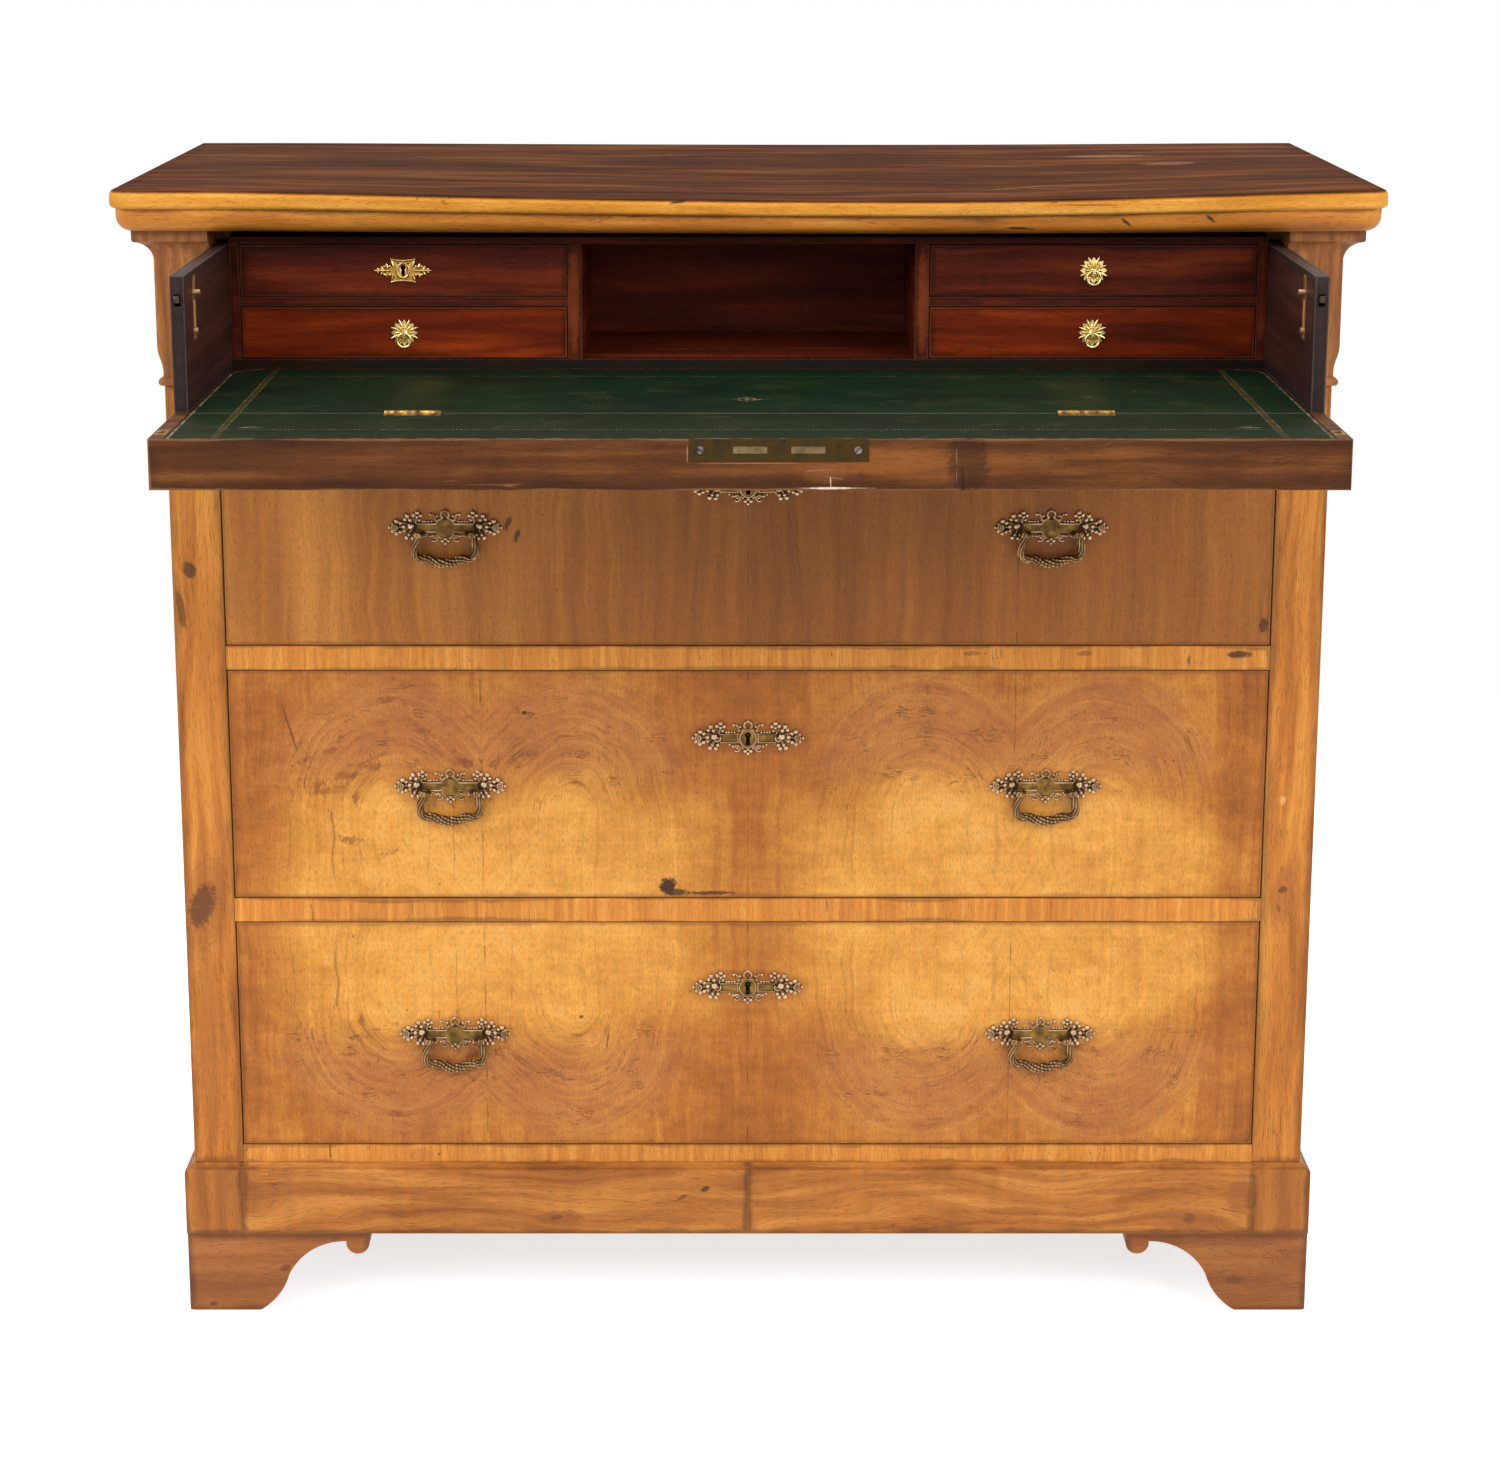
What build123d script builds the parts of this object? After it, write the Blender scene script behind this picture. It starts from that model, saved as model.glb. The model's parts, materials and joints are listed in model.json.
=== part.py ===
from build123d import *
import math
import os

# Secretaire chest, in millimetres. X is the width, the front faces -Y and Z is up.
# Lengths are worked out from the carcass front plane (y = 0) and the floor (z = 0), and the finished
# pieces are moved back by origin_shift, so that the origin is below the middle of the chest.

# Carcass
carcass_width = 1020.0
carcass_depth = 452.0
side_thickness = 22.0
stile_width = 45.0
stile_depth = 30.0
back_thickness = 8.0
back_inset = 1.0
back_board_count = 4
back_board_gap = 0.5
bottom_board_thickness = 12.0

# Top board and the moulding under it
top_thickness = 16.0
top_overhang = 38.5
top_back_overhang = 8.5
top_corner_radius = 24.0
top_upper_edge_radius = 6.0
top_lower_edge_radius = 4.0
moulding_height = 20.0
moulding_setback = 5.0
moulding_radius = 13.0
moulding_rail_width = 60.0

# Base
foot_height = 76.0
foot_length = 168.4
foot_side_length = 150.0
foot_thickness = 22.0
foot_corner_radius = 4.0
plinth_height = 67.0
plinth_projection = 8.3
plinth_thickness = 22.0
plinth_edge_drop = 4.0
plinth_edge_radius = 3.0
glue_block_width = 38.0
glue_block_floor_gap = 6.0

# Outline of a foot's face: shares of its length and height, from the outer corner inwards
foot_sole_share = 0.392
foot_bulge_shares = ((0.500, 0.215), (0.556, 0.470))
foot_hollow_shares = ((0.665, 0.757), (0.874, 0.899))
foot_lobe_shares = ((0.937, 0.737), (1.0, 0.874))

# Rails between the drawers
bottom_rail_height = 17.0
rail_height = 22.0
rail_depth = 60.0
drawer_openings = {"drawer_1": 206.2, "drawer_2": 213.0, "drawer_3": 215.6}

# Runners, guides, kickers and stops inside the carcass
runner_width = 48.0
runner_thickness = 22.0
guide_height = 26.0
guide_clearance = 1.5
kicker_clearance = 1.0
stop_length = 60.0
stop_depth = 22.0
stop_height = 7.0
stop_offset = 250.0

# Long drawers
drawer_gap = 1.0
drawer_recess = 1.0
drawer_front_thickness = 20.0
drawer_front_edge_radius = 0.8
drawer_rear_gap = 12.0
drawer_side_thickness = 12.0
drawer_side_drop = 6.0
drawer_back_thickness = 10.0
drawer_bottom_thickness = 8.0
drawer_bottom_lift = 10.0
slide_clearance = 0.3

# Writing drawer
writing_reach = 223.0
writing_board_thickness = 18.3
writing_room_height = 124.7
writing_side_thickness = 11.5
writing_kicker_thickness = 13.0
writing_side_clearance = 1.8
writing_back_thickness = 10.0
writing_closed_gap = 1.5
board_nose_thickness = 9.0
board_nose_length = 24.0
stop_cleat_length = 240.0
stop_cleat_depth = 20.0
stop_cleat_height = 17.0
leather_thickness = 1.0
leather_margin = 1.4
leather_fit = 0.2

# Fall
fall_length = 122.0
fall_thickness = 19.5
fall_lip_length = 22.8
fall_lip_clearance = 0.6
fall_pass_clearance = 1.7
hinge_line_gap = 0.4
side_end_gap = 0.6
fall_leather_front_margin = 2.5

# Frieze profile, projections from the carcass face and distances from the writing surface
capital_projection = 20.3
capital_height = 10.0
capital_radius = 2.7
cavetto_height = 17.0
shaft_projection = 4.4
swell_bottom_rise = 23.7
neck_projection = 0.5
neck_bottom_drop = 1.3
bead_drop = 8.8
bead_radius = 3.9
bead_projection = 4.4
bead_clearance = 0.6

# Nest of small drawers inside the writing drawer
nest_setback = 10.5
nest_post_width = 8.6
nest_partition_width = 12.6
nest_floor_thickness = 9.5
nest_shelf_thickness = 8.6
nest_top_thickness = 6.0
nest_back_thickness = 6.0
nest_drawer_width = 284.0
nest_drawer_height = 44.4
nest_drawer_rear_gap = 12.5
nest_side_gap = 0.75
nest_height_gap = 0.8
nest_front_thickness = 8.0
nest_wall_thickness = 5.0
nest_bottom_thickness = 4.0
nest_wall_drop = 5.0

# Fall hinges
hinge_length = 46.0
hinge_offset = 271.0
hinge_barrel_radius = 2.4
hinge_pin_radius = 0.95
hinge_leaf_width = 11.0
hinge_leaf_thickness = 1.6
hinge_knuckle_count = 5
hinge_knuckle_gap = 0.3
hinge_running_clearance = 0.05
hinge_cut_clearance = 0.3

# Sprung catches in the writing drawer's sides, with keepers on the fall
catch_height = 91.7
catch_stud_setback = 48.0
catch_bar_height = 4.0
catch_bar_width = 4.0
catch_travel = 3.0
catch_clearance = 0.5
catch_tooth_rise = 1.5
catch_tooth_length = 2.5
catch_stud_radius = 2.4
catch_stud_projection = 5.0
catch_plate_height = 52.0
catch_plate_width = 13.0
catch_plate_thickness = 1.2
catch_plate_rise = 14.0
catch_leaf_width = 2.4
catch_leaf_thickness = 1.0
catch_screw_radius = 2.6
catch_screw_height = 1.4
keeper_width = 9.0
keeper_height = 22.0
keeper_thickness = 1.5
keeper_depth = 4.0

# Lock of the fall
lock_plate_length = 138.6
lock_plate_width = 17.6
lock_plate_thickness = 2.0
lock_offset = 22.2
lock_case_length = 110.0
lock_case_height = 52.0
lock_case_thickness = 12.0
lock_case_cover = 3.5
lock_bolt_width = 26.4
lock_bolt_thickness = 5.6
lock_bolt_length = 20.0
lock_bolt_depth = 8.5
lock_bolt_spacing = 44.8
lock_bolt_bridge = 6.0
lock_bolt_clearance = 0.3
lock_travel = 8.0
lock_fit = 0.2
lock_screw_radius = 3.0
lock_screw_length = 14.0
lock_screw_margin = 8.5
fall_keyhole_drop = 43.0
mortise_clearance = 0.8

# Locks of the long drawers
case_length = 70.0
case_height = 78.0
case_thickness = 11.0
bolt_width = 28.0
bolt_thickness = 5.0
bolt_length = 18.0
keyhole_drop = 61.8

# Keyhole, the same in every plate
keyhole_radius = 2.7
keyhole_slot_width = 3.2
keyhole_slot_length = 8.5
keyhole_rise = 3.2
key_pin_radius = 1.0

# Handles and their plates
plate_length = 100.0
plate_height = 32.0
plate_thickness = 1.8
cartouche_thickness = 1.0
handle_offset = 267.3
handle_heights = {"drawer_1": 106.4, "drawer_2": 104.4, "drawer_3": 107.0}
post_offset = 19.8
post_radius = 3.6
post_length = 9.0
post_drop = 6.0
post_shank_radius = 2.0
post_shank_clearance = 0.2
nut_radius = 5.0
nut_thickness = 3.0
bail_radius = 3.0
bail_eye_radius = 3.4
bail_eye_length = 5.2
bail_pin_radius = 1.5
bail_pivot_depth = 5.4
bail_leg_offset = 26.4
bail_bore_clearance = 0.05
bail_swell = 0.9
bail_knee_height = 13.0
bail_corner_height = 24.0
bail_corner_offset = 24.6
bail_bow_height = 26.4
bail_bow_offset = 12.5
bail_depth = 30.0
bail_fillet = 5.0

# Lobes of a cast plate's edge: shares of the plate's length (x), of its height (y, radius)
lobe_shares = (
    (0.435, 0.12, 0.140), (0.470, -0.03, 0.105), (0.425, -0.21, 0.105), (0.350, 0.320, 0.090),
    (0.350, -0.29, 0.090), (0.250, 0.335, 0.140), (0.105, 0.250, 0.110), (0.105, -0.270, 0.110),
    (0.185, 0.225, 0.100), (0.270, -0.240, 0.090),
)
crest_shares = ((0.36, 0.140), (-0.39, 0.110))
wing_place_share = 0.33
wing_size_shares = (0.13, 0.27)
band_size_shares = (0.72, 0.30)
shield_size_shares = (0.11, 0.31)
cartouche_size_shares = (0.52, 0.17)
cartouche_shield_shares = (0.075, 0.25)

# Gilt mounts of the nest
rosette_radius = 11.7
rosette_inner_share = 0.70
rosette_point_count = 8
rosette_thickness = 1.2
rosette_dome_radius = 3.2
rosette_dome_height = 1.0
eye_width = 2.2
eye_height = 4.6
eye_reach = 6.6
ring_radius = 6.0
ring_wire_radius = 1.1
ring_bore_clearance = 0.25
ring_pivot_depth = 4.6
small_plate_length = 49.0
small_plate_height = 19.6
small_plate_thickness = 1.2
small_keyhole_share = 0.62

# Places worked out from the sizes above
half_width = carcass_width / 2
half_opening = half_width - stile_width
inner_half = half_width - side_thickness
plinth_top = foot_height + plinth_height
back_front = carcass_depth - back_inset - back_thickness
back_rear = carcass_depth - back_inset

fall_capital_thickness = fall_thickness + capital_projection
fall_room = fall_thickness + bead_projection - writing_board_thickness + bead_clearance
top_rail_height = (
    fall_capital_thickness + fall_pass_clearance - drawer_gap - writing_board_thickness - fall_room
)

drawer_floor = {}
level = plinth_top + bottom_rail_height
rail_spans = [(plinth_top, level)]
for drawer in ("drawer_3", "drawer_2", "drawer_1"):
    drawer_floor[drawer] = level
    rail_bottom = level + drawer_openings[drawer]
    level = rail_bottom + (top_rail_height if drawer == "drawer_1" else rail_height)
    rail_spans.append((rail_bottom, level))
board_bottom = level + fall_room
writing_level = board_bottom + writing_board_thickness
opening_top = writing_level + writing_room_height
moulding_top = opening_top + moulding_height
chest_top = moulding_top + top_thickness

bead_middle = writing_level - bead_drop
bead_bottom = bead_middle - bead_radius
bead_top = bead_middle + bead_radius
neck_bottom = writing_level - neck_bottom_drop
swell_bottom = writing_level + swell_bottom_rise
capital_bottom = opening_top - capital_height
shaft_top = capital_bottom - cavetto_height

hinge_y = -writing_reach
fall_face = hinge_y - fall_thickness
fall_edge = writing_level + fall_length
lip_bottom = writing_level - fall_lip_length
lip_inner = board_nose_thickness + fall_lip_clearance
fall_half = half_opening - writing_side_clearance
writing_inner = fall_half - writing_side_thickness
fall_hinge = Axis((0, hinge_y, writing_level), (1, 0, 0))

front_reach = writing_reach + fall_length
origin_shift = (front_reach - carcass_depth - top_back_overhang) / 2

drawer_face = drawer_recess
drawer_inner_face = drawer_face + drawer_front_thickness
drawer_rear = back_front - drawer_rear_gap
nest_face = nest_setback
writing_side_height = writing_room_height - writing_kicker_thickness - kicker_clearance
writing_travel = writing_reach + fall_thickness
writing_rear = back_front - writing_closed_gap - writing_travel
nest_rear = writing_rear - writing_back_thickness
nest_drawer_rear = nest_rear - nest_back_thickness - nest_drawer_rear_gap

nodes = {}


def block(x_span, y_span, z_span):
    # A box between two places along each axis
    spans = (x_span, y_span, z_span)
    middle = [(low + high) / 2 for low, high in spans]
    size = [high - low for low, high in spans]
    return Pos(*middle) * Box(*size)


def around(middle, size):
    # The span of a size about its middle
    return (middle - size / 2, middle + size / 2)


def mirrored(shape):
    return mirror(shape, about=Plane.YZ)


def rod(start, end, radius):
    # A round bar between two points that share two coordinates
    direction = Vector(*end) - Vector(*start)
    plane = Plane(origin=start, z_dir=direction)
    return extrude(plane * Circle(radius), amount=direction.length)


def outline(points):
    # Straight edges through points in a row, leaving out those of no length
    return [Line(a, b) for a, b in zip(points, points[1:]) if a != b]


def save(name, *shapes):
    # Keeps the solids of one named piece in the chest's own frame
    solids = [solid for shape in shapes for solid in shape.solids()]
    nodes[name] = [Pos(0, origin_shift, 0) * solid for solid in solids]


def opened(shape):
    # Turns a piece of the closed fall down about its hinge line to the open place
    return shape.rotate(fall_hinge, 90)


def frieze_edges(top):
    # The frieze profile from the bead up: projection from the carcass face, then height
    middle = ((neck_projection + shaft_projection) / 2, (neck_bottom + swell_bottom) / 2)
    rising = TangentArc((neck_projection, neck_bottom), middle, tangent=(0, 1))
    corner = capital_projection - capital_radius
    turn = capital_radius * math.sqrt(0.5)
    return [
        ThreePointArc((0, bead_bottom), (bead_projection, bead_middle), (neck_projection, bead_top)),
        Line((neck_projection, bead_top), (neck_projection, neck_bottom)),
        rising,
        TangentArc(middle, (shaft_projection, swell_bottom), tangent=rising % 1),
        Line((shaft_projection, swell_bottom), (shaft_projection, shaft_top)),
        TangentArc((shaft_projection, shaft_top), (corner, capital_bottom), tangent=(0, 1)),
        ThreePointArc(
            (corner, capital_bottom),
            (corner + turn, capital_bottom + capital_radius - turn),
            (capital_projection, capital_bottom + capital_radius),
        ),
        Line((capital_projection, capital_bottom + capital_radius), (capital_projection, top)),
    ]


def frieze_section(plane, depth):
    # The frieze profile as a face that runs back to a depth behind the carcass face
    edges = frieze_edges(opening_top)
    corners = [(capital_projection, opening_top), (-depth, opening_top)]
    corners += [(-depth, bead_bottom), (0, bead_bottom)]
    edges += outline(corners)
    return plane * make_face(edges)


def front_plane(x, y):
    # A section plane whose first direction points out of the front
    return Plane(origin=(x, y, 0), x_dir=(0, -1, 0), z_dir=(-1, 0, 0))


def side_plane(y):
    # A section plane whose first direction points out of the right side
    return Plane(origin=(half_width, y, 0), x_dir=(1, 0, 0), z_dir=(0, -1, 0))


def keyhole(depth):
    # A keyhole cutter about a plate's middle, its round head above it, from y = 0 back to a depth
    slot = Pos(0, -keyhole_slot_length / 2) * Rectangle(keyhole_slot_width, keyhole_slot_length)
    shape = Pos(0, keyhole_rise) * (Circle(keyhole_radius) + slot)
    return extrude(Plane.XZ * shape, amount=-depth)


# The carcass: sides, stiles, friezes, back, bottom and rails
def build_carcass():
    side = block((inner_half, half_width), (stile_depth, carcass_depth), (foot_height, bead_bottom))
    save("side_panel_right", side)
    save("side_panel_left", mirrored(side))

    stile = block((half_opening, half_width), (0, stile_depth), (plinth_top, bead_bottom))
    save("stiles", mirrored(stile), stile)

    reach = half_width + capital_projection
    across = extrude(
        frieze_section(front_plane(half_opening, 0), stile_depth), amount=half_opening - reach
    )
    along = extrude(
        frieze_section(side_plane(stile_depth), stile_width), amount=stile_depth + capital_projection
    )
    corner = across & along
    board = extrude(
        frieze_section(side_plane(carcass_depth), side_thickness), amount=carcass_depth - stile_depth
    )
    save("frieze_right", corner, board)
    save("frieze_left", mirrored(corner), mirrored(board))

    pitch = 2 * inner_half / back_board_count
    back_low = foot_height + plinth_height / 2
    boards = [
        block(
            around(pitch * (i + 0.5) - inner_half, pitch - back_board_gap),
            (back_front, back_rear),
            (back_low, opening_top),
        )
        for i in range(back_board_count)
    ]
    save("back_boards", *boards)

    floor = plinth_top + bottom_rail_height - runner_thickness
    save(
        "bottom_board",
        block(
            (-inner_half, inner_half),
            (stile_depth, back_front),
            (floor - bottom_board_thickness, floor),
        ),
    )

    rails = []
    for low, high in rail_spans:
        rails.append(block((-half_opening, half_opening), (0, rail_depth), (low, high)))
    for i in range(1, len(rails)):
        rails[i] -= bolt_mortise(rail_spans[i][0])
    save("drawer_rails", *rails)


def bolt_place():
    # The middle of a long drawer's lock bolt across the drawer front's thickness
    return drawer_inner_face - case_thickness / 2


def bolt_mortise(height):
    # The hole in a rail's underside for the bolt of the drawer below
    return block(
        around(0, bolt_width + 2 * mortise_clearance),
        around(bolt_place(), bolt_thickness + 2 * mortise_clearance),
        (height, height + lock_travel + mortise_clearance),
    )


# Runners and guides under and beside every drawer, kickers over the writing drawer, and stops
def build_runners():
    pieces = []
    guide_face = half_opening + guide_clearance
    for low in list(drawer_floor.values()) + [board_bottom]:
        pieces.append(
            block(
                (inner_half - runner_width, inner_half),
                (rail_depth, back_front),
                (low - runner_thickness, low),
            )
        )
        pieces.append(
            block((guide_face, inner_half), (rail_depth, back_front), (low, low + guide_height))
        )
    pieces.append(
        block(
            (writing_inner + kicker_clearance, inner_half),
            (stile_depth, back_front),
            (writing_level + writing_side_height + kicker_clearance, opening_top),
        )
    )
    save("drawer_runners", *[mirrored(piece) for piece in pieces], *pieces)

    stops = []
    for low in drawer_floor.values():
        stop = block(
            around(stop_offset, stop_length),
            (drawer_inner_face + slide_clearance, drawer_inner_face + slide_clearance + stop_depth),
            (low, low + stop_height),
        )
        stops += [mirrored(stop), stop]
    save("drawer_stops", *stops)


# The top board and the mitred moulding frame under it
def build_top():
    outline_x = half_width + top_overhang
    rear = carcass_depth + top_back_overhang
    board = block((-outline_x, outline_x), (-top_overhang, rear), (moulding_top, chest_top))
    front_corners = board.edges().filter_by(Axis.Z).sort_by(Axis.Y)[:2]
    board = fillet(front_corners, top_corner_radius)
    for side, radius in ((-1, top_upper_edge_radius), (0, top_lower_edge_radius)):
        rim = board.faces().sort_by(Axis.Z)[side].edges()
        board = fillet([edge for edge in rim if edge.center().Y < carcass_depth], radius)
    save("top_board", board)

    reach = outline_x - moulding_setback
    front = -top_overhang + moulding_setback
    slab = block((-reach, reach), (front, carcass_depth), (opening_top, moulding_top))
    slab = fillet(slab.edges().filter_by(Axis.Z).sort_by(Axis.Y)[:2], top_corner_radius - moulding_setback)
    lower = slab.faces().sort_by(Axis.Z)[0].edges()
    shown = [edge for edge in lower if edge.center().Y < carcass_depth - moulding_setback]
    slab = fillet(shown, moulding_radius)
    inner = inner_half - runner_width
    slab -= block(
        (-inner, inner),
        (moulding_rail_width, carcass_depth - moulding_rail_width),
        (opening_top, moulding_top),
    )
    for x in (0, lock_bolt_spacing):
        slab -= block(
            around(x, lock_bolt_width + 2 * mortise_clearance),
            around(
                fall_thickness - lock_bolt_depth, lock_bolt_thickness + 2 * mortise_clearance
            ),
            (opening_top, opening_top + lock_travel),
        )
    sides = (opening_top, moulding_top)
    front_rail = slab & block((-reach, reach), (front, moulding_rail_width), sides)
    rear_rail = slab & block(
        (-inner, inner), (carcass_depth - moulding_rail_width, carcass_depth), sides
    )
    right_rail = slab & block((inner, reach), (moulding_rail_width, carcass_depth), sides)
    save("top_moulding", front_rail, mirrored(right_rail), right_rail, rear_rail)


# The plinth boards, its corner blocks and the bracket feet
def plinth_section(depth):
    # Outline across a plinth board: distance in front of the carcass face, then height
    shoulder = plinth_top - plinth_edge_drop
    inset = plinth_projection - plinth_edge_radius
    turn = plinth_edge_radius * math.sqrt(0.5)
    start = (plinth_projection, shoulder - plinth_edge_radius)
    round_edge = ThreePointArc(
        start, (inset + turn, shoulder - plinth_edge_radius + turn), (inset, shoulder)
    )
    corners = [(inset, shoulder), (0, plinth_top), (-depth, plinth_top), (-depth, foot_height)]
    corners += [(plinth_projection, foot_height), start]
    return make_face([round_edge] + outline(corners))


def foot_face(length):
    # One face of a bracket foot: distance from the outer corner, then height
    def at(pair):
        return (pair[0] * length, pair[1] * foot_height)

    sole = (foot_sole_share * length, 0)
    bulge, knee = [at(pair) for pair in foot_bulge_shares]
    hollow, neck = [at(pair) for pair in foot_hollow_shares]
    lobe, tip = [at(pair) for pair in foot_lobe_shares]
    curves = [
        ThreePointArc(sole, bulge, knee),
        ThreePointArc(knee, hollow, neck),
        ThreePointArc(neck, lobe, tip),
    ]
    return make_face(curves + outline([tip, (length, foot_height), (0, foot_height), (0, 0), sole]))


def build_base():
    reach = half_width + plinth_projection
    board_rear = plinth_thickness - plinth_projection
    long_board = extrude(
        front_plane(0, 0) * plinth_section(board_rear), amount=-half_opening
    )
    return_board = extrude(
        side_plane(carcass_depth) * plinth_section(0), amount=carcass_depth - stile_depth
    )
    save("plinth_boards", mirrored(long_board), long_board, mirrored(return_board), return_board)

    across = extrude(
        front_plane(half_opening, 0) * plinth_section(stile_depth), amount=half_opening - reach
    )
    along = extrude(
        side_plane(stile_depth) * plinth_section(stile_width), amount=stile_depth + plinth_projection
    )
    corner = across & along
    save("plinth_corner_blocks", mirrored(corner), corner)

    # The front bracket is seen from the front, the side bracket runs back from the same corner
    front_face = Plane(origin=(reach, -plinth_projection, 0), x_dir=(-1, 0, 0), z_dir=(0, 1, 0))
    side_face = Plane(origin=(reach, -plinth_projection, 0), x_dir=(0, 1, 0), z_dir=(1, 0, 0))
    rear_face = Plane(origin=(reach, carcass_depth, 0), x_dir=(0, -1, 0), z_dir=(-1, 0, 0))
    front_bracket = extrude(front_face * foot_face(foot_length), amount=foot_thickness)
    side_bracket = extrude(side_face * foot_face(foot_side_length), amount=-foot_thickness)
    rear_bracket = extrude(rear_face * foot_face(foot_side_length), amount=foot_thickness)
    front_foot = front_bracket + side_bracket
    outer_edge = front_foot.edges().filter_by(Axis.Z).sort_by(Axis.X)[-1]
    front_foot = fillet(outer_edge, foot_corner_radius)
    inner_x = reach - foot_thickness
    inner_y = foot_thickness - plinth_projection
    front_block = block(
        (inner_x - glue_block_width, inner_x),
        (inner_y, inner_y + glue_block_width),
        (glue_block_floor_gap, foot_height),
    )
    rear_block = block(
        (inner_x - glue_block_width, inner_x),
        (carcass_depth - glue_block_width, carcass_depth),
        (glue_block_floor_gap, foot_height),
    )
    save("feet_front", mirrored(front_foot), front_foot, mirrored(front_block), front_block)
    save("feet_back", mirrored(rear_bracket), rear_bracket, mirrored(rear_block), rear_block)


# Cast plates, handles and locks of the long drawers
def cast_outline(length, height):
    # The lobed edge of a cast plate, wider than high, about its middle
    outline = Rectangle(band_size_shares[0] * length, band_size_shares[1] * height)
    outline += Ellipse(shield_size_shares[0] * length, shield_size_shares[1] * height)
    for side in (-1, 1):
        wing = Ellipse(wing_size_shares[0] * length, wing_size_shares[1] * height)
        outline += Pos(side * wing_place_share * length, 0) * wing
        for x, y, r in lobe_shares:
            outline += Pos(side * x * length, y * height) * Circle(r * height)
    for y, r in crest_shares:
        outline += Pos(0, y * height) * Circle(r * height)
    return outline


def cast_plate(length, height, thickness):
    # A cast plate standing on the plane y = 0, its face towards the front
    plate = extrude(Plane.XZ * cast_outline(length, height), amount=thickness)
    cartouche = Rectangle(cartouche_size_shares[0] * length, cartouche_size_shares[1] * height)
    cartouche += Ellipse(cartouche_shield_shares[0] * length, cartouche_shield_shares[1] * height)
    return plate + extrude(Plane.XZ * cartouche, amount=thickness + cartouche_thickness)


def handle_plate():
    # A backplate with its two posts, whose shanks pass through the drawer front to a nut
    plate = cast_plate(plate_length, plate_height, plate_thickness)
    pivot_y = -plate_thickness - bail_pivot_depth
    nuts = []
    for side in (-1, 1):
        x = side * post_offset
        plate += rod((x, 0, -post_drop), (x, -plate_thickness - post_length, -post_drop), post_radius)
        plate += rod(
            (x, 0, -post_drop), (x, drawer_front_thickness + nut_thickness, -post_drop), post_shank_radius
        )
        plate -= rod(
            (x - side * post_radius, pivot_y, -post_drop),
            (x + side * post_radius, pivot_y, -post_drop),
            bail_pin_radius + bail_bore_clearance,
        )
        nut_face = Plane(origin=(x, drawer_front_thickness, -post_drop), z_dir=(0, 1, 0))
        nut = RegularPolygon(nut_radius, 6) - Circle(post_shank_radius)
        nuts.append(extrude(nut_face * nut, amount=nut_thickness))
    return [plate] + nuts


def bail():
    # A drop handle hanging from the origin: two pins, two eyes and a bowed bar
    half = [
        (bail_leg_offset, 0),
        (bail_leg_offset + bail_swell, -bail_knee_height),
        (bail_corner_offset, -bail_corner_height),
        (bail_bow_offset, -bail_bow_height),
    ]
    points = [(-x, z) for x, z in half] + [(0, -bail_depth)] + half[::-1]
    path = Plane.XZ * FilletPolyline(*points, radius=bail_fillet)
    bar = sweep(Plane(origin=path @ 0, z_dir=path % 0) * Circle(bail_radius), path=path)
    for side in (-1, 1):
        x = side * bail_leg_offset
        bar += rod((x - bail_eye_length / 2, 0, 0), (x + bail_eye_length / 2, 0, 0), bail_eye_radius)
        bar += rod((x, 0, 0), (side * (post_offset - post_radius), 0, 0), bail_pin_radius)
    return bar


def escutcheon():
    plate = cast_plate(plate_length, plate_height, plate_thickness)
    return plate - Pos(0, -plate_thickness - cartouche_thickness, 0) * keyhole(
        2 * (plate_thickness + cartouche_thickness)
    )


def drawer_lock(top):
    # The case let into the drawer front, with its bolt: both below the drawer's top edge
    middle = bolt_place()
    case = block(around(0, case_length), around(middle, case_thickness), (top - case_height, top))
    clearance = 2 * lock_bolt_clearance
    case -= block(
        around(0, bolt_width + clearance),
        around(middle, bolt_thickness + clearance),
        (top - bolt_length - clearance, top),
    )
    # The pin that a hollow key turns on stands in the keyhole
    key_height = top - keyhole_drop + keyhole_rise
    case += rod(
        (0, middle - case_thickness / 2, key_height),
        (0, drawer_face - plate_thickness / 2, key_height),
        key_pin_radius,
    )
    bolt = block(
        around(0, bolt_width),
        around(middle, bolt_thickness),
        (top - bolt_length, top - lock_bolt_clearance),
    )
    return case, bolt


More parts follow.
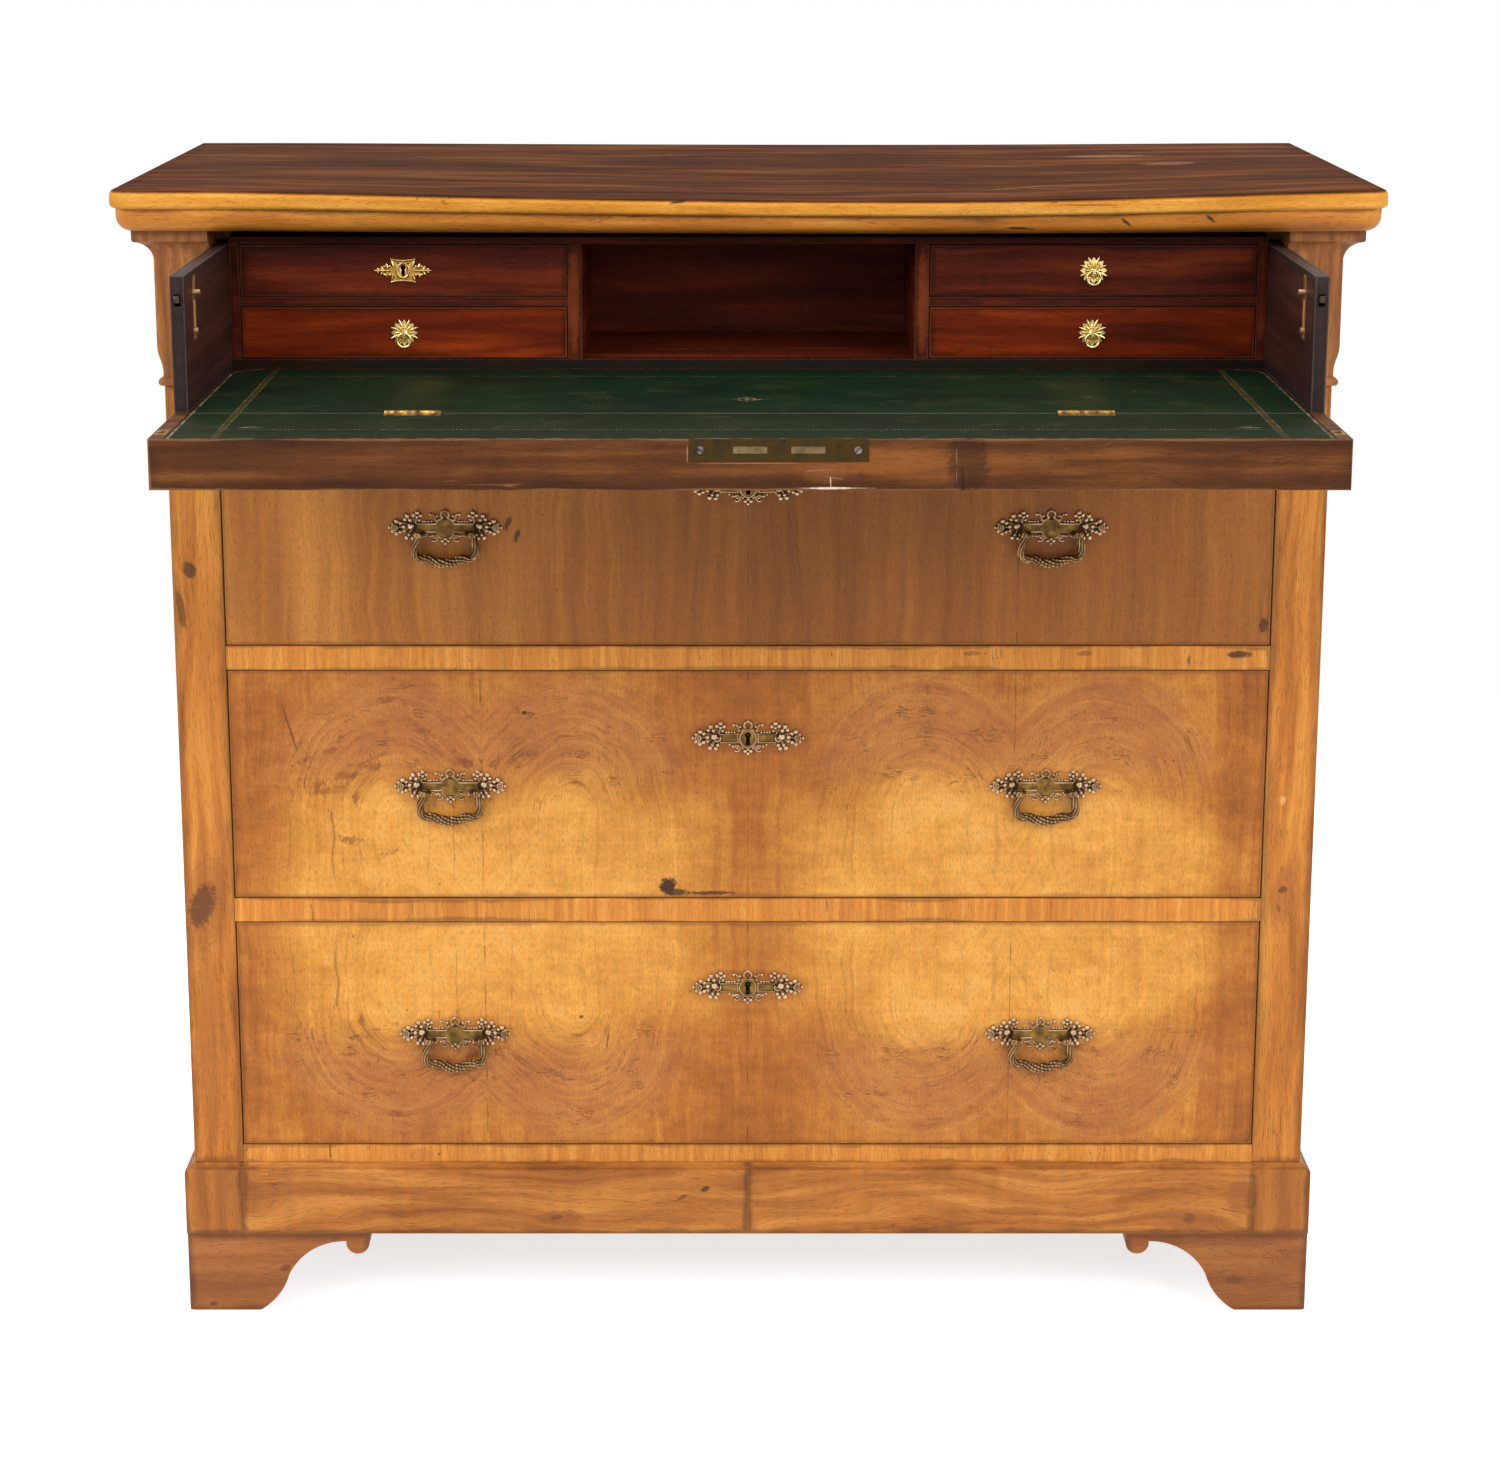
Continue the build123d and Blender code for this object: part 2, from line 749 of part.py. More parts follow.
def build_long_drawer(name):
    floor = drawer_floor[name]
    low = floor + drawer_gap
    top = floor + drawer_openings[name] - drawer_gap
    half = half_opening - drawer_gap
    front = block((-half, half), (drawer_face, drawer_inner_face), (low, top))
    front = fillet(front.faces().sort_by(Axis.Y)[0].edges(), drawer_front_edge_radius)
    lock_pocket = block(
        around(0, case_length + lock_fit),
        (drawer_inner_face - case_thickness - lock_fit, drawer_inner_face),
        (top - case_height - lock_fit, top),
    )
    front -= lock_pocket
    front -= Pos(0, drawer_face, top - keyhole_drop) * keyhole(drawer_front_thickness)
    handle_height = low + handle_heights[name]
    for x in (-handle_offset, handle_offset):
        for side in (-1, 1):
            place = x + side * post_offset
            front -= rod(
                (place, drawer_face, handle_height - post_drop),
                (place, drawer_inner_face, handle_height - post_drop),
                post_shank_radius + post_shank_clearance,
            )
    save(f"{name}_front", front)

    outer = half_opening - writing_side_clearance
    inner = outer - drawer_side_thickness
    side_top = top - drawer_side_drop
    bottom_low = floor + slide_clearance + drawer_bottom_lift
    bottom_high = bottom_low + drawer_bottom_thickness
    side = block((inner, outer), (drawer_inner_face, drawer_rear), (floor + slide_clearance, side_top))
    bottom = block((-inner, inner), (drawer_inner_face, drawer_rear), (bottom_low, bottom_high))
    rear = block((-inner, inner), (drawer_rear - drawer_back_thickness, drawer_rear), (bottom_high, side_top))
    save(f"{name}_box", mirrored(side), side, bottom, rear)

    case, bolt = drawer_lock(top)
    mounts = [case, Pos(0, drawer_face, top - keyhole_drop) * escutcheon()]
    for x in (-handle_offset, handle_offset):
        mounts += [Pos(x, drawer_face, handle_height) * piece for piece in handle_plate()]
    save(f"{name}_mounts", *mounts)
    save(f"{name}_bolt", bolt)
    pivot_y = drawer_face - plate_thickness - bail_pivot_depth
    for side, x in (("left", -handle_offset), ("right", handle_offset)):
        save(f"{name}_bail_{side}", Pos(x, pivot_y, handle_height - post_drop) * bail())


# The writing drawer: board, sides, back, leather, nest, hinge leaves and catches
def build_writing_drawer():
    rear = writing_rear
    front = hinge_y + hinge_line_gap
    board = block((-fall_half, fall_half), (front, rear), (board_bottom, writing_level))
    board -= block(
        (-fall_half, fall_half),
        (front, hinge_y + board_nose_length),
        (board_bottom, writing_level - board_nose_thickness),
    )
    leather_front = hinge_y + leather_margin
    leather_low = writing_level - leather_thickness
    board -= block(
        (-writing_inner, writing_inner), (leather_front, nest_face), (leather_low, writing_level)
    )
    leather = block(
        (-writing_inner + leather_fit, writing_inner - leather_fit),
        (leather_front + leather_fit, nest_face - leather_fit),
        (leather_low, writing_level),
    )
    for x in (-hinge_offset, hinge_offset):
        room = hinge_room(x, False)
        board -= room
        leather -= room
    cleat = block(
        around(0, stop_cleat_length),
        (rail_depth + slide_clearance, rail_depth + slide_clearance + stop_cleat_depth),
        (board_bottom - stop_cleat_height, board_bottom),
    )
    save("writing_board", board, cleat)
    save("writing_leather", leather)

    side = block(
        (writing_inner, fall_half),
        (hinge_y + side_end_gap, rear),
        (writing_level, writing_level + writing_side_height),
    )
    side -= catch_room()
    back = block(
        (-writing_inner, writing_inner),
        (nest_rear, rear),
        (writing_level, writing_level + writing_side_height),
    )
    save("writing_drawer_box", mirrored(side), side, back)

    leaves = [hinge_leaf(x, False) for x in (-hinge_offset, hinge_offset)]
    save("writing_hinge_leaves", *leaves)
    plate = catch_plate()
    save("catch_plates", *[mirrored(piece) for piece in plate], *plate)
    right = catch()
    save("catch_right", right)
    save("catch_left", mirrored(right))


def hinge_spans(x, moving):
    # The spans along the hinge line of the knuckles of one leaf
    pitch = hinge_length / hinge_knuckle_count
    start = x - hinge_length / 2
    wanted = 1 if moving else 0
    return [
        around(start + pitch * (i + 0.5), pitch - hinge_knuckle_gap)
        for i in range(hinge_knuckle_count)
        if i % 2 == wanted
    ]


def hinge_leaf(x, moving):
    # One leaf with its knuckles about the hinge line: the fixed one holds the pin
    away = -1 if moving else 1
    near = hinge_y + away * (hinge_barrel_radius + hinge_cut_clearance)
    far = hinge_y + away * hinge_leaf_width
    low = writing_level - hinge_leaf_thickness
    leaf = block(around(x, hinge_length), (min(near, far), max(near, far)), (low, writing_level))
    bore = rod(
        (x - hinge_length / 2, hinge_y, writing_level),
        (x + hinge_length / 2, hinge_y, writing_level),
        hinge_pin_radius + hinge_running_clearance if moving else hinge_pin_radius,
    )
    for span in hinge_spans(x, moving):
        leaf += rod((span[0], hinge_y, writing_level), (span[1], hinge_y, writing_level), hinge_barrel_radius)
        leaf += block(span, (min(near, hinge_y), max(near, hinge_y)), (low, writing_level))
    return leaf - bore if moving else leaf + bore


def hinge_room(x, moving):
    # The cut for a hinge: the whole barrel, and the bed of one leaf
    away = -1 if moving else 1
    far = hinge_y + away * hinge_leaf_width
    low = writing_level - hinge_leaf_thickness
    length = hinge_length + 2 * hinge_cut_clearance
    barrel = rod(
        (x - length / 2, hinge_y, writing_level),
        (x + length / 2, hinge_y, writing_level),
        hinge_barrel_radius + hinge_cut_clearance,
    )
    return barrel + block(around(x, length), (min(hinge_y, far), max(hinge_y, far)), (low, writing_level))


def catch_level():
    return writing_level + catch_height


def catch_middle():
    # The middle of the writing drawer side's thickness
    return fall_half - writing_side_thickness / 2


def catch_room():
    # The hollow for a catch inside the drawer side: the bar's channel, the stud's slot, the plate's bed
    low = catch_level() - catch_bar_height / 2 - catch_travel - catch_clearance
    high = catch_level() + catch_bar_height / 2 + catch_tooth_rise + catch_clearance
    stud_y = hinge_y + catch_stud_setback
    channel = block(
        around(catch_middle(), catch_bar_width + 2 * catch_clearance),
        (hinge_y, stud_y + catch_stud_radius + 2 * catch_clearance),
        (low, high),
    )
    slot = block(
        (writing_inner, catch_middle()),
        around(stud_y, 2 * (catch_stud_radius + catch_clearance)),
        (low, high),
    )
    plate_top = catch_level() + catch_plate_rise
    bed = block(
        (writing_inner, writing_inner + catch_plate_thickness),
        around(stud_y, catch_plate_width),
        (plate_top - catch_plate_height, plate_top),
    )
    return channel + slot + bed


def catch_plate():
    # The plate let into the side's inner face, with its leaf spring and screw
    stud_y = hinge_y + catch_stud_setback
    plate_top = catch_level() + catch_plate_rise
    plate_bottom = plate_top - catch_plate_height
    plate = block(
        (writing_inner, writing_inner + catch_plate_thickness),
        around(stud_y, catch_plate_width),
        (plate_bottom, plate_top),
    )
    stroke_low = catch_level() - catch_stud_radius - catch_travel - catch_clearance
    plate -= block(
        (writing_inner, writing_inner + catch_plate_thickness),
        around(stud_y, 2 * (catch_stud_radius + catch_clearance)),
        (stroke_low, catch_level() + catch_stud_radius + catch_clearance),
    )
    screw_level = plate_bottom + catch_plate_width / 2
    leaf = block(
        (writing_inner - catch_leaf_thickness, writing_inner),
        around(stud_y, catch_leaf_width),
        (screw_level, stroke_low - catch_clearance),
    )
    screw = rod(
        (writing_inner, stud_y, screw_level),
        (writing_inner - catch_leaf_thickness - catch_screw_height, stud_y, screw_level),
        catch_screw_radius,
    )
    return [plate, leaf + screw]


def catch():
    # The sliding bar: a hooked nose past the side's front end and a stud on its inner face
    stud_y = hinge_y + catch_stud_setback
    nose = hinge_y - keeper_thickness - catch_clearance - catch_tooth_length
    z_span = around(catch_level(), catch_bar_height)
    bar = block(around(catch_middle(), catch_bar_width), (nose, stud_y + catch_stud_radius), z_span)
    tooth = block(
        around(catch_middle(), catch_bar_width),
        (nose, nose + catch_tooth_length),
        (z_span[1], z_span[1] + catch_tooth_rise),
    )
    stud = rod(
        (catch_middle(), stud_y, catch_level()),
        (writing_inner - catch_stud_projection, stud_y, catch_level()),
        catch_stud_radius,
    )
    return bar + tooth + stud


# The fall, made upright in its closed place and then turned down on its hinges
def fall_section():
    edges = frieze_edges(fall_edge)
    shoulder = writing_level + hinge_line_gap
    lip = lip_inner - fall_thickness
    corners = [
        (capital_projection, fall_edge),
        (-fall_thickness, fall_edge),
        (-fall_thickness, shoulder),
        (lip, shoulder),
        (lip, lip_bottom),
        (0, lip_bottom),
        (0, bead_bottom),
    ]
    return make_face(edges + outline(corners))


def lock_bolt_y():
    # The depth of the bolts below the leather face, in the closed place
    return hinge_y - lock_bolt_depth


def lock_parts():
    # The fall's lock: edge plate and case as one piece, its screws, and its two-tongued bolt
    plate_y = (hinge_y - lock_plate_width, hinge_y)
    plate_z = (fall_edge - lock_plate_thickness, fall_edge)
    plate = block(around(lock_offset, lock_plate_length), plate_y, plate_z)
    case_top = plate_z[0]
    case = block(
        around(lock_offset, lock_case_length),
        (hinge_y - lock_case_cover - lock_case_thickness, hinge_y - lock_case_cover),
        (case_top - lock_case_height, case_top),
    )
    clearance = 2 * lock_bolt_clearance
    thick = lock_bolt_thickness + clearance
    bolt_top = fall_edge - lock_bolt_clearance
    bolt_low = bolt_top - lock_bolt_length
    bridge_span = (-lock_bolt_width / 2, lock_bolt_spacing + lock_bolt_width / 2)
    body = plate + case
    body -= block(
        (bridge_span[0] - lock_bolt_clearance, bridge_span[1] + lock_bolt_clearance),
        around(lock_bolt_y(), thick),
        (bolt_low - lock_bolt_clearance, bolt_low + lock_bolt_bridge + lock_travel + lock_bolt_clearance),
    )
    bolt_y = around(lock_bolt_y(), lock_bolt_thickness)
    bolt = block(bridge_span, bolt_y, (bolt_low, bolt_low + lock_bolt_bridge))
    for x in (0, lock_bolt_spacing):
        slot = around(x, lock_bolt_width + clearance)
        body -= block(slot, around(lock_bolt_y(), thick), (bolt_low, fall_edge))
        bolt += block(around(x, lock_bolt_width), bolt_y, (bolt_low, bolt_top))
    key_level = fall_edge - fall_keyhole_drop + keyhole_rise
    case_face = hinge_y - lock_case_cover - lock_case_thickness
    body += rod((0, case_face, key_level), (0, fall_face - shaft_projection, key_level), key_pin_radius)
    screws = []
    for side in (-1, 1):
        x = lock_offset + side * (lock_plate_length / 2 - lock_screw_margin)
        body -= rod((x, lock_bolt_y(), case_top), (x, lock_bolt_y(), fall_edge), lock_screw_radius)
        screw = rod((x, lock_bolt_y(), case_top), (x, lock_bolt_y(), fall_edge), lock_screw_radius)
        screw += rod(
            (x, lock_bolt_y(), case_top - lock_screw_length),
            (x, lock_bolt_y(), case_top),
            lock_screw_radius / 2,
        )
        screws.append(screw)
    return body, screws, bolt


def lock_pocket():
    # The hollow for the fall's lock, its screws and its keyhole
    pocket = block(
        around(lock_offset, lock_plate_length + lock_fit),
        (hinge_y - lock_plate_width - lock_fit, hinge_y),
        (fall_edge - lock_plate_thickness, fall_edge),
    )
    pocket += block(
        around(lock_offset, lock_case_length + lock_fit),
        (
            hinge_y - lock_case_cover - lock_case_thickness - lock_fit,
            hinge_y - lock_case_cover + lock_fit,
        ),
        (fall_edge - lock_plate_thickness - lock_case_height - lock_fit, fall_edge),
    )
    for side in (-1, 1):
        x = lock_offset + side * (lock_plate_length / 2 - lock_screw_margin)
        pocket += rod(
            (x, lock_bolt_y(), fall_edge - lock_plate_thickness - lock_screw_length),
            (x, lock_bolt_y(), fall_edge),
            lock_screw_radius / 2,
        )
    outer = fall_face - shaft_projection
    through = Pos(0, outer, fall_edge - fall_keyhole_drop) * keyhole(fall_thickness)
    return pocket + through


def keeper_room():
    # The window and the hollow behind it that take a catch's hooked nose, and the plate's bed
    low = catch_level() - catch_bar_height / 2 - catch_travel - catch_clearance
    high = catch_level() + catch_bar_height / 2 + catch_clearance
    window = block(
        around(catch_middle(), catch_bar_width + 2 * catch_clearance),
        (hinge_y - keeper_thickness, hinge_y),
        (low, high),
    )
    hollow = block(
        around(catch_middle(), catch_bar_width + 2 * catch_clearance),
        (
            hinge_y - keeper_thickness - keeper_depth - catch_clearance,
            hinge_y - keeper_thickness,
        ),
        (low, high + catch_tooth_rise + catch_clearance),
    )
    bed = block(
        around(catch_middle(), keeper_width),
        (hinge_y - keeper_thickness, hinge_y),
        around(catch_level(), keeper_height),
    )
    return window, hollow, bed


def build_fall():
    board = extrude(
        front_plane(-fall_half, fall_face) * fall_section(), amount=-2 * fall_half
    )
    window, hollow, bed = keeper_room()
    board -= lock_pocket()
    for piece in (hollow, bed):
        board -= piece
        board -= mirrored(piece)

    leather_low = writing_level + leather_margin
    leather_high = fall_edge - fall_leather_front_margin
    recess = block(
        (-writing_inner, writing_inner), (hinge_y - leather_thickness, hinge_y), (leather_low, leather_high)
    )
    leather = block(
        (-writing_inner + leather_fit, writing_inner - leather_fit),
        (hinge_y - leather_thickness, hinge_y),
        (leather_low + leather_fit, leather_high - leather_fit),
    )
    board = opened(board - recess)
    leather = opened(leather)
    for x in (-hinge_offset, hinge_offset):
        room = hinge_room(x, True)
        board -= room
        leather -= room
    save("fall_board", board)
    save("fall_leather", leather)
    save("fall_hinge_leaves", *[hinge_leaf(x, True) for x in (-hinge_offset, hinge_offset)])

    lock, screws, bolt = lock_parts()
    save("fall_lock", opened(lock), *[opened(screw) for screw in screws])
    save("fall_lock_bolts", opened(bolt))

    keeper = bed - window
    save("fall_keepers", opened(mirrored(keeper)), opened(keeper))
    plate = Pos(0, fall_face - shaft_projection, fall_edge - fall_keyhole_drop) * escutcheon()
    save("fall_escutcheon", opened(plate))


# The nest: its frame of posts, partitions and shelves, and four small drawers with gilt mounts
def nest_levels():
    # The underside of the lower and the upper small drawers
    lower = writing_level + nest_floor_thickness + nest_height_gap
    upper = lower + nest_drawer_height + 2 * nest_height_gap + nest_shelf_thickness
    return {"lower": lower, "upper": upper}


def build_nest():
    span = (nest_face, nest_rear - nest_back_thickness)
    floor_top = writing_level + nest_floor_thickness
    levels = nest_levels()
    top_low = levels["upper"] + nest_drawer_height + nest_height_gap
    bay_outer = writing_inner - nest_post_width
    bay_inner = bay_outer - nest_drawer_width - 2 * nest_side_gap
    partition_inner = bay_inner - nest_partition_width
    shelf_low = levels["lower"] + nest_drawer_height + nest_height_gap

    floor = block((-writing_inner, writing_inner), span, (writing_level, floor_top))
    top = block((-writing_inner, writing_inner), span, (top_low, top_low + nest_top_thickness))
    back = block(
        (-writing_inner, writing_inner), (span[1], nest_rear), (writing_level, top_low + nest_top_thickness)
    )
    post = block((bay_outer, writing_inner), span, (floor_top, top_low))
    partition = block((partition_inner, bay_inner), span, (floor_top, top_low))
    shelf = block((bay_inner, bay_outer), span, (shelf_low, shelf_low + nest_shelf_thickness))
    paired = [post, partition, shelf]
    save("nest_frame", floor, top, back, *paired, *[mirrored(piece) for piece in paired])

    middle = (bay_outer + bay_inner) / 2
    for tier, low in levels.items():
        for side, x in (("left", -middle), ("right", middle)):
            name = f"nest_drawer_{tier}_{side}"
            build_nest_drawer(name, x, low, tier == "upper" and side == "left")


def build_nest_drawer(name, x, low, has_lock):
    front_rear = nest_face + nest_front_thickness
    rear = nest_drawer_rear
    front = block(around(x, nest_drawer_width), (nest_face, front_rear), (low, low + nest_drawer_height))
    middle_z = low + nest_drawer_height / 2
    pieces = []
    for side in (-1, 1):
        edge = x + side * nest_drawer_width / 2
        wall = edge - side * nest_wall_thickness
        pieces.append(
            block(
                (min(edge, wall), max(edge, wall)),
                (front_rear, rear),
                (low - nest_height_gap + slide_clearance, low + nest_drawer_height - nest_wall_drop),
            )
        )
    inner = around(x, nest_drawer_width - 2 * nest_wall_thickness)
    pieces.append(block(inner, (front_rear, rear), (low, low + nest_bottom_thickness)))
    pieces.append(
        block(
            inner,
            (rear - nest_wall_thickness, rear),
            (low + nest_bottom_thickness, low + nest_drawer_height - nest_wall_drop),
        )
    )
    if has_lock:
        front -= Pos(x, nest_face, middle_z) * small_keyhole(nest_front_thickness)
        save(f"{name}_escutcheon", Pos(x, nest_face, middle_z) * small_escutcheon())
    else:
        rosette, ring = rosette_and_ring()
        save(f"{name}_rosette", Pos(x, nest_face, middle_z) * rosette)
        save(f"{name}_ring", Pos(x, nest_face, middle_z) * ring)
    save(name, front, *pieces)


def small_keyhole(depth):
    # The same keyhole at the small lock's size, running back from y = 0
    radius, width, length, rise = [
        size * small_keyhole_share
        for size in (keyhole_radius, keyhole_slot_width, keyhole_slot_length, keyhole_rise)
    ]
    shape = Pos(0, rise) * (Circle(radius) + Pos(0, -length / 2) * Rectangle(width, length))
    return extrude(Plane.XZ * shape, amount=-depth)


def small_escutcheon():
    plate = extrude(
        Plane.XZ * cast_outline(small_plate_length, small_plate_height), amount=small_plate_thickness
    )
    return plate - Pos(0, -small_plate_thickness, 0) * small_keyhole(2 * small_plate_thickness)


def rosette_and_ring():
    # A pointed rosette with an eye, and the ring that hangs in the eye's bore
    points = []
    for i in range(2 * rosette_point_count):
        radius = rosette_radius * (rosette_inner_share if i % 2 else 1)
        angle = math.pi * i / rosette_point_count
        points.append((radius * math.sin(angle), radius * math.cos(angle)))
    star = extrude(Plane.XZ * make_face(Polyline(*points, close=True)), amount=rosette_thickness)
    star += rod((0, 0, 0), (0, -rosette_thickness - rosette_dome_height, 0), rosette_dome_radius)
    pivot_y = -rosette_thickness - ring_pivot_depth
    star += block(around(0, eye_width), (-rosette_thickness - eye_reach, 0), around(0, eye_height))
    star -= rod(
        (-eye_width, pivot_y, 0), (eye_width, pivot_y, 0), ring_wire_radius + ring_bore_clearance
    )
    ring = Pos(0, pivot_y, -ring_radius) * (Rot(90, 0, 0) * Torus(ring_radius, ring_wire_radius))
    return star, ring


build_carcass()
build_runners()
build_top()
build_base()
for drawer in drawer_openings:
    build_long_drawer(drawer)
build_writing_drawer()
build_fall()
build_nest()

os.makedirs("parts", exist_ok=True)
for name, solids in nodes.items():
    export_step(Compound(children=solids), f"parts/{name}.step")
print(len(nodes), "nodes,", sum(len(solids) for solids in nodes.values()), "solids")
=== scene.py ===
import json
import math
import random
import bmesh
import bpy
import numpy
from mathutils import Matrix, Vector


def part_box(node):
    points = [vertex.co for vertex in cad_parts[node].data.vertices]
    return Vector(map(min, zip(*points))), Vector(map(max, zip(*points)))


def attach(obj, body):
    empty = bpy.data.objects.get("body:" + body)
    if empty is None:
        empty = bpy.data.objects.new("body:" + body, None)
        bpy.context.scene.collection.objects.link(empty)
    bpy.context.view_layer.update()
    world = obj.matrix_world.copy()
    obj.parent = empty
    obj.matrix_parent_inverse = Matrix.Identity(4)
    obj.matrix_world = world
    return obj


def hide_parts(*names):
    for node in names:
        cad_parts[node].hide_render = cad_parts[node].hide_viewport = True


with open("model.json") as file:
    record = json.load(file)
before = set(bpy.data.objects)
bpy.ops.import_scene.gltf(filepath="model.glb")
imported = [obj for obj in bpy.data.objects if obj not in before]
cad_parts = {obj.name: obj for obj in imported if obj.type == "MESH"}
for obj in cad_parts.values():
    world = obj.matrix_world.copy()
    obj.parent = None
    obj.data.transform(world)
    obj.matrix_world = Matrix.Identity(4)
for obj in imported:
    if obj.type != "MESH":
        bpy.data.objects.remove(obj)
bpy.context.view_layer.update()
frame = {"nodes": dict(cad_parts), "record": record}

mm = 0.001
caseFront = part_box("stiles")[0].y  # the front face of the case, in metres
frontPlane = caseFront * 1000  # the same in millimetres
bodyOf = {node: body for body, nodes in frame["record"]["behaviour"]["bodies"].items() for node in nodes}
print("frame loaded:", len(frame["nodes"]), "nodes")


def place(x, y, z):
    # A place in millimetres from the middle of the case's front, at the floor
    return Vector((x * mm, caseFront + y * mm, z * mm))


def behindFront(y):
    # How far a place in metres lies behind the case's front, in millimetres
    return (y - caseFront) / mm


def tint(red, green, blue):
    # A colour on the usual 0 to 255 scale, as the linear values that shaders take
    shares = [value / 255 for value in (red, green, blue)]
    linear = [s / 12.92 if s <= 0.04045 else ((s + 0.055) / 1.055) ** 2.4 for s in shares]
    return (*linear, 1.0)


# Shader tools

class Wire:
    # One socket of a material; arithmetic on it adds Math nodes
    def __init__(self, sheet, socket):
        self.sheet = sheet
        self.socket = socket

    def __add__(self, other):
        return self.sheet.maths("ADD", self, other)

    def __sub__(self, other):
        return self.sheet.maths("SUBTRACT", self, other)

    def __rsub__(self, other):
        return self.sheet.maths("SUBTRACT", other, self)

    def __mul__(self, other):
        return self.sheet.maths("MULTIPLY", self, other)

    def __truediv__(self, other):
        return self.sheet.maths("DIVIDE", self, other)

    def __pow__(self, other):
        return self.sheet.maths("POWER", self, other)

    __radd__ = __add__
    __rmul__ = __mul__

    def abs(self):
        return self.sheet.maths("ABSOLUTE", self)

    def part(self):
        return self.sheet.maths("FRACT", self)

    def over(self, other):
        return self.sheet.maths("MAXIMUM", self, other)

    def under(self, other):
        return self.sheet.maths("MINIMUM", self, other)

    def fade(self, start, end):
        # 0 at start, 1 at end, smooth between; start may be the larger one
        return self.sheet.node(
            "ShaderNodeMapRange",
            {"interpolation_type": "SMOOTHSTEP"},
            {"Value": self, "From Min": start, "From Max": end, "To Min": 0.0, "To Max": 1.0},
        )


class Sheet:
    # The node tree of one finish
    def __init__(self, name):
        self.material = bpy.data.materials.new(name)
        self.material.use_nodes = True
        self.tree = self.material.node_tree
        self.tree.nodes.clear()

    def node(self, kind, settings=None, inputs=None, output=0):
        made = self.tree.nodes.new(kind)
        for key, value in (settings or {}).items():
            if key == "stops":
                self.setStops(made.color_ramp, value)
            else:
                setattr(made, key, value)
        for key, value in (inputs or {}).items():
            socket = self.socket(made.inputs, key)
            if isinstance(value, Wire):
                self.tree.links.new(value.socket, socket)
            else:
                socket.default_value = value
        return Wire(self, self.socket(made.outputs, output))

    def socket(self, sockets, key):
        found = [socket for socket in sockets if socket.identifier == key]
        return found[0] if found else sockets[key]

    def setStops(self, ramp, stops):
        while len(ramp.elements) < len(stops):
            ramp.elements.new(0.5)
        for element, (position, colour) in zip(ramp.elements, stops):
            element.position = position
            element.color = colour

    def maths(self, operation, *values):
        return self.node("ShaderNodeMath", {"operation": operation}, dict(enumerate(values)))

    def split(self, vector, scale=1.0):
        made = self.node("ShaderNodeSeparateXYZ", {}, {"Vector": vector})
        parts = [Wire(self, socket) for socket in made.socket.node.outputs]
        return [part * scale for part in parts] if scale != 1 else parts

    def board(self):
        # Where a point lies in its own board, longest way first, and its distance from the nearest arris
        along, across, depth = places = self.split(self.own("grain"), 1000)
        halves = self.split(self.own("halfSize"), 1000)
        first, second, third = [half - way.abs() for half, way in zip(halves, places)]
        edge = first.under(second).over(first.over(second).under(third))
        return along, across, depth, halves, edge

    def join(self, x, y, z=0.0):
        return self.node("ShaderNodeCombineXYZ", {}, {"X": x, "Y": y, "Z": z})

    def own(self, name, output="Vector"):
        return self.node("ShaderNodeAttribute", {"attribute_name": name}, {}, output)

    def object(self):
        return self.node("ShaderNodeTexCoord", {}, {}, "Object")

    def noise(self, vector, scale, detail=2.0, roughness=0.5):
        values = {"Vector": vector, "Scale": scale, "Detail": detail, "Roughness": roughness}
        return self.node("ShaderNodeTexNoise", {}, values)

    def field(self, detail, x, y, z=0.0, roughness=0.5):
        # Noise over three measures that are already scaled to it
        return self.noise(self.join(x, y, z), 1.0, detail, roughness)

    def cells(self, vector, scale):
        return self.node("ShaderNodeTexVoronoi", {}, {"Vector": vector, "Scale": scale}, "Distance")

    def ramp(self, value, *stops):
        return self.node("ShaderNodeValToRGB", {"stops": stops}, {"Fac": value}, "Color")

    def blend(self, share, first, second):
        values = {"Factor_Float": share, "A_Color": first, "B_Color": second}
        return self.node("ShaderNodeMix", {"data_type": "RGBA"}, values, "Result_Color")

    def shade(self, colour, amount):
        values = {"Vector": colour, "Scale": amount}
        return self.node("ShaderNodeVectorMath", {"operation": "SCALE"}, values, "Vector")

    def bump(self, height, distance):
        return self.node("ShaderNodeBump", {}, {"Height": height, "Distance": distance * mm}, "Normal")

    def finish(self, values):
        return self.close(self.node("ShaderNodeBsdfPrincipled", {}, values, "BSDF"))

    def close(self, surface):
        output = self.tree.nodes.new("ShaderNodeOutputMaterial")
        self.tree.links.new(surface.socket, output.inputs["Surface"])
        return self.material


def blot(sheet, spot, ragged=0.5, lying=False, until=(30, 12)):
    # Mask of a ragged patch on the front or, lying, on the top, for marks and for painted shade, light and
    # sheen: its middle, half width, half height and lean.
    # On the front it fades out between two depths.
    x, y, z = sheet.split(sheet.object(), 1000)
    behind = y - frontPlane
    if lying:
        z = behind
    middleX, middleZ, width, height, lean = spot
    turn = math.radians(lean)
    dx = x - middleX
    dz = z - middleZ
    u = (dx * math.cos(turn) + dz * math.sin(turn)) / width
    v = (dz * math.cos(turn) - dx * math.sin(turn)) / height
    torn = sheet.noise(sheet.join(dx, dz), 0.22, 3.0, 0.6)
    radius = (u * u + v * v) ** 0.5 + (torn - 0.5) * (2 * ragged)
    mark = radius.fade(1.05, 0.6)
    return mark if lying else mark * behind.fade(*until)


# Wood

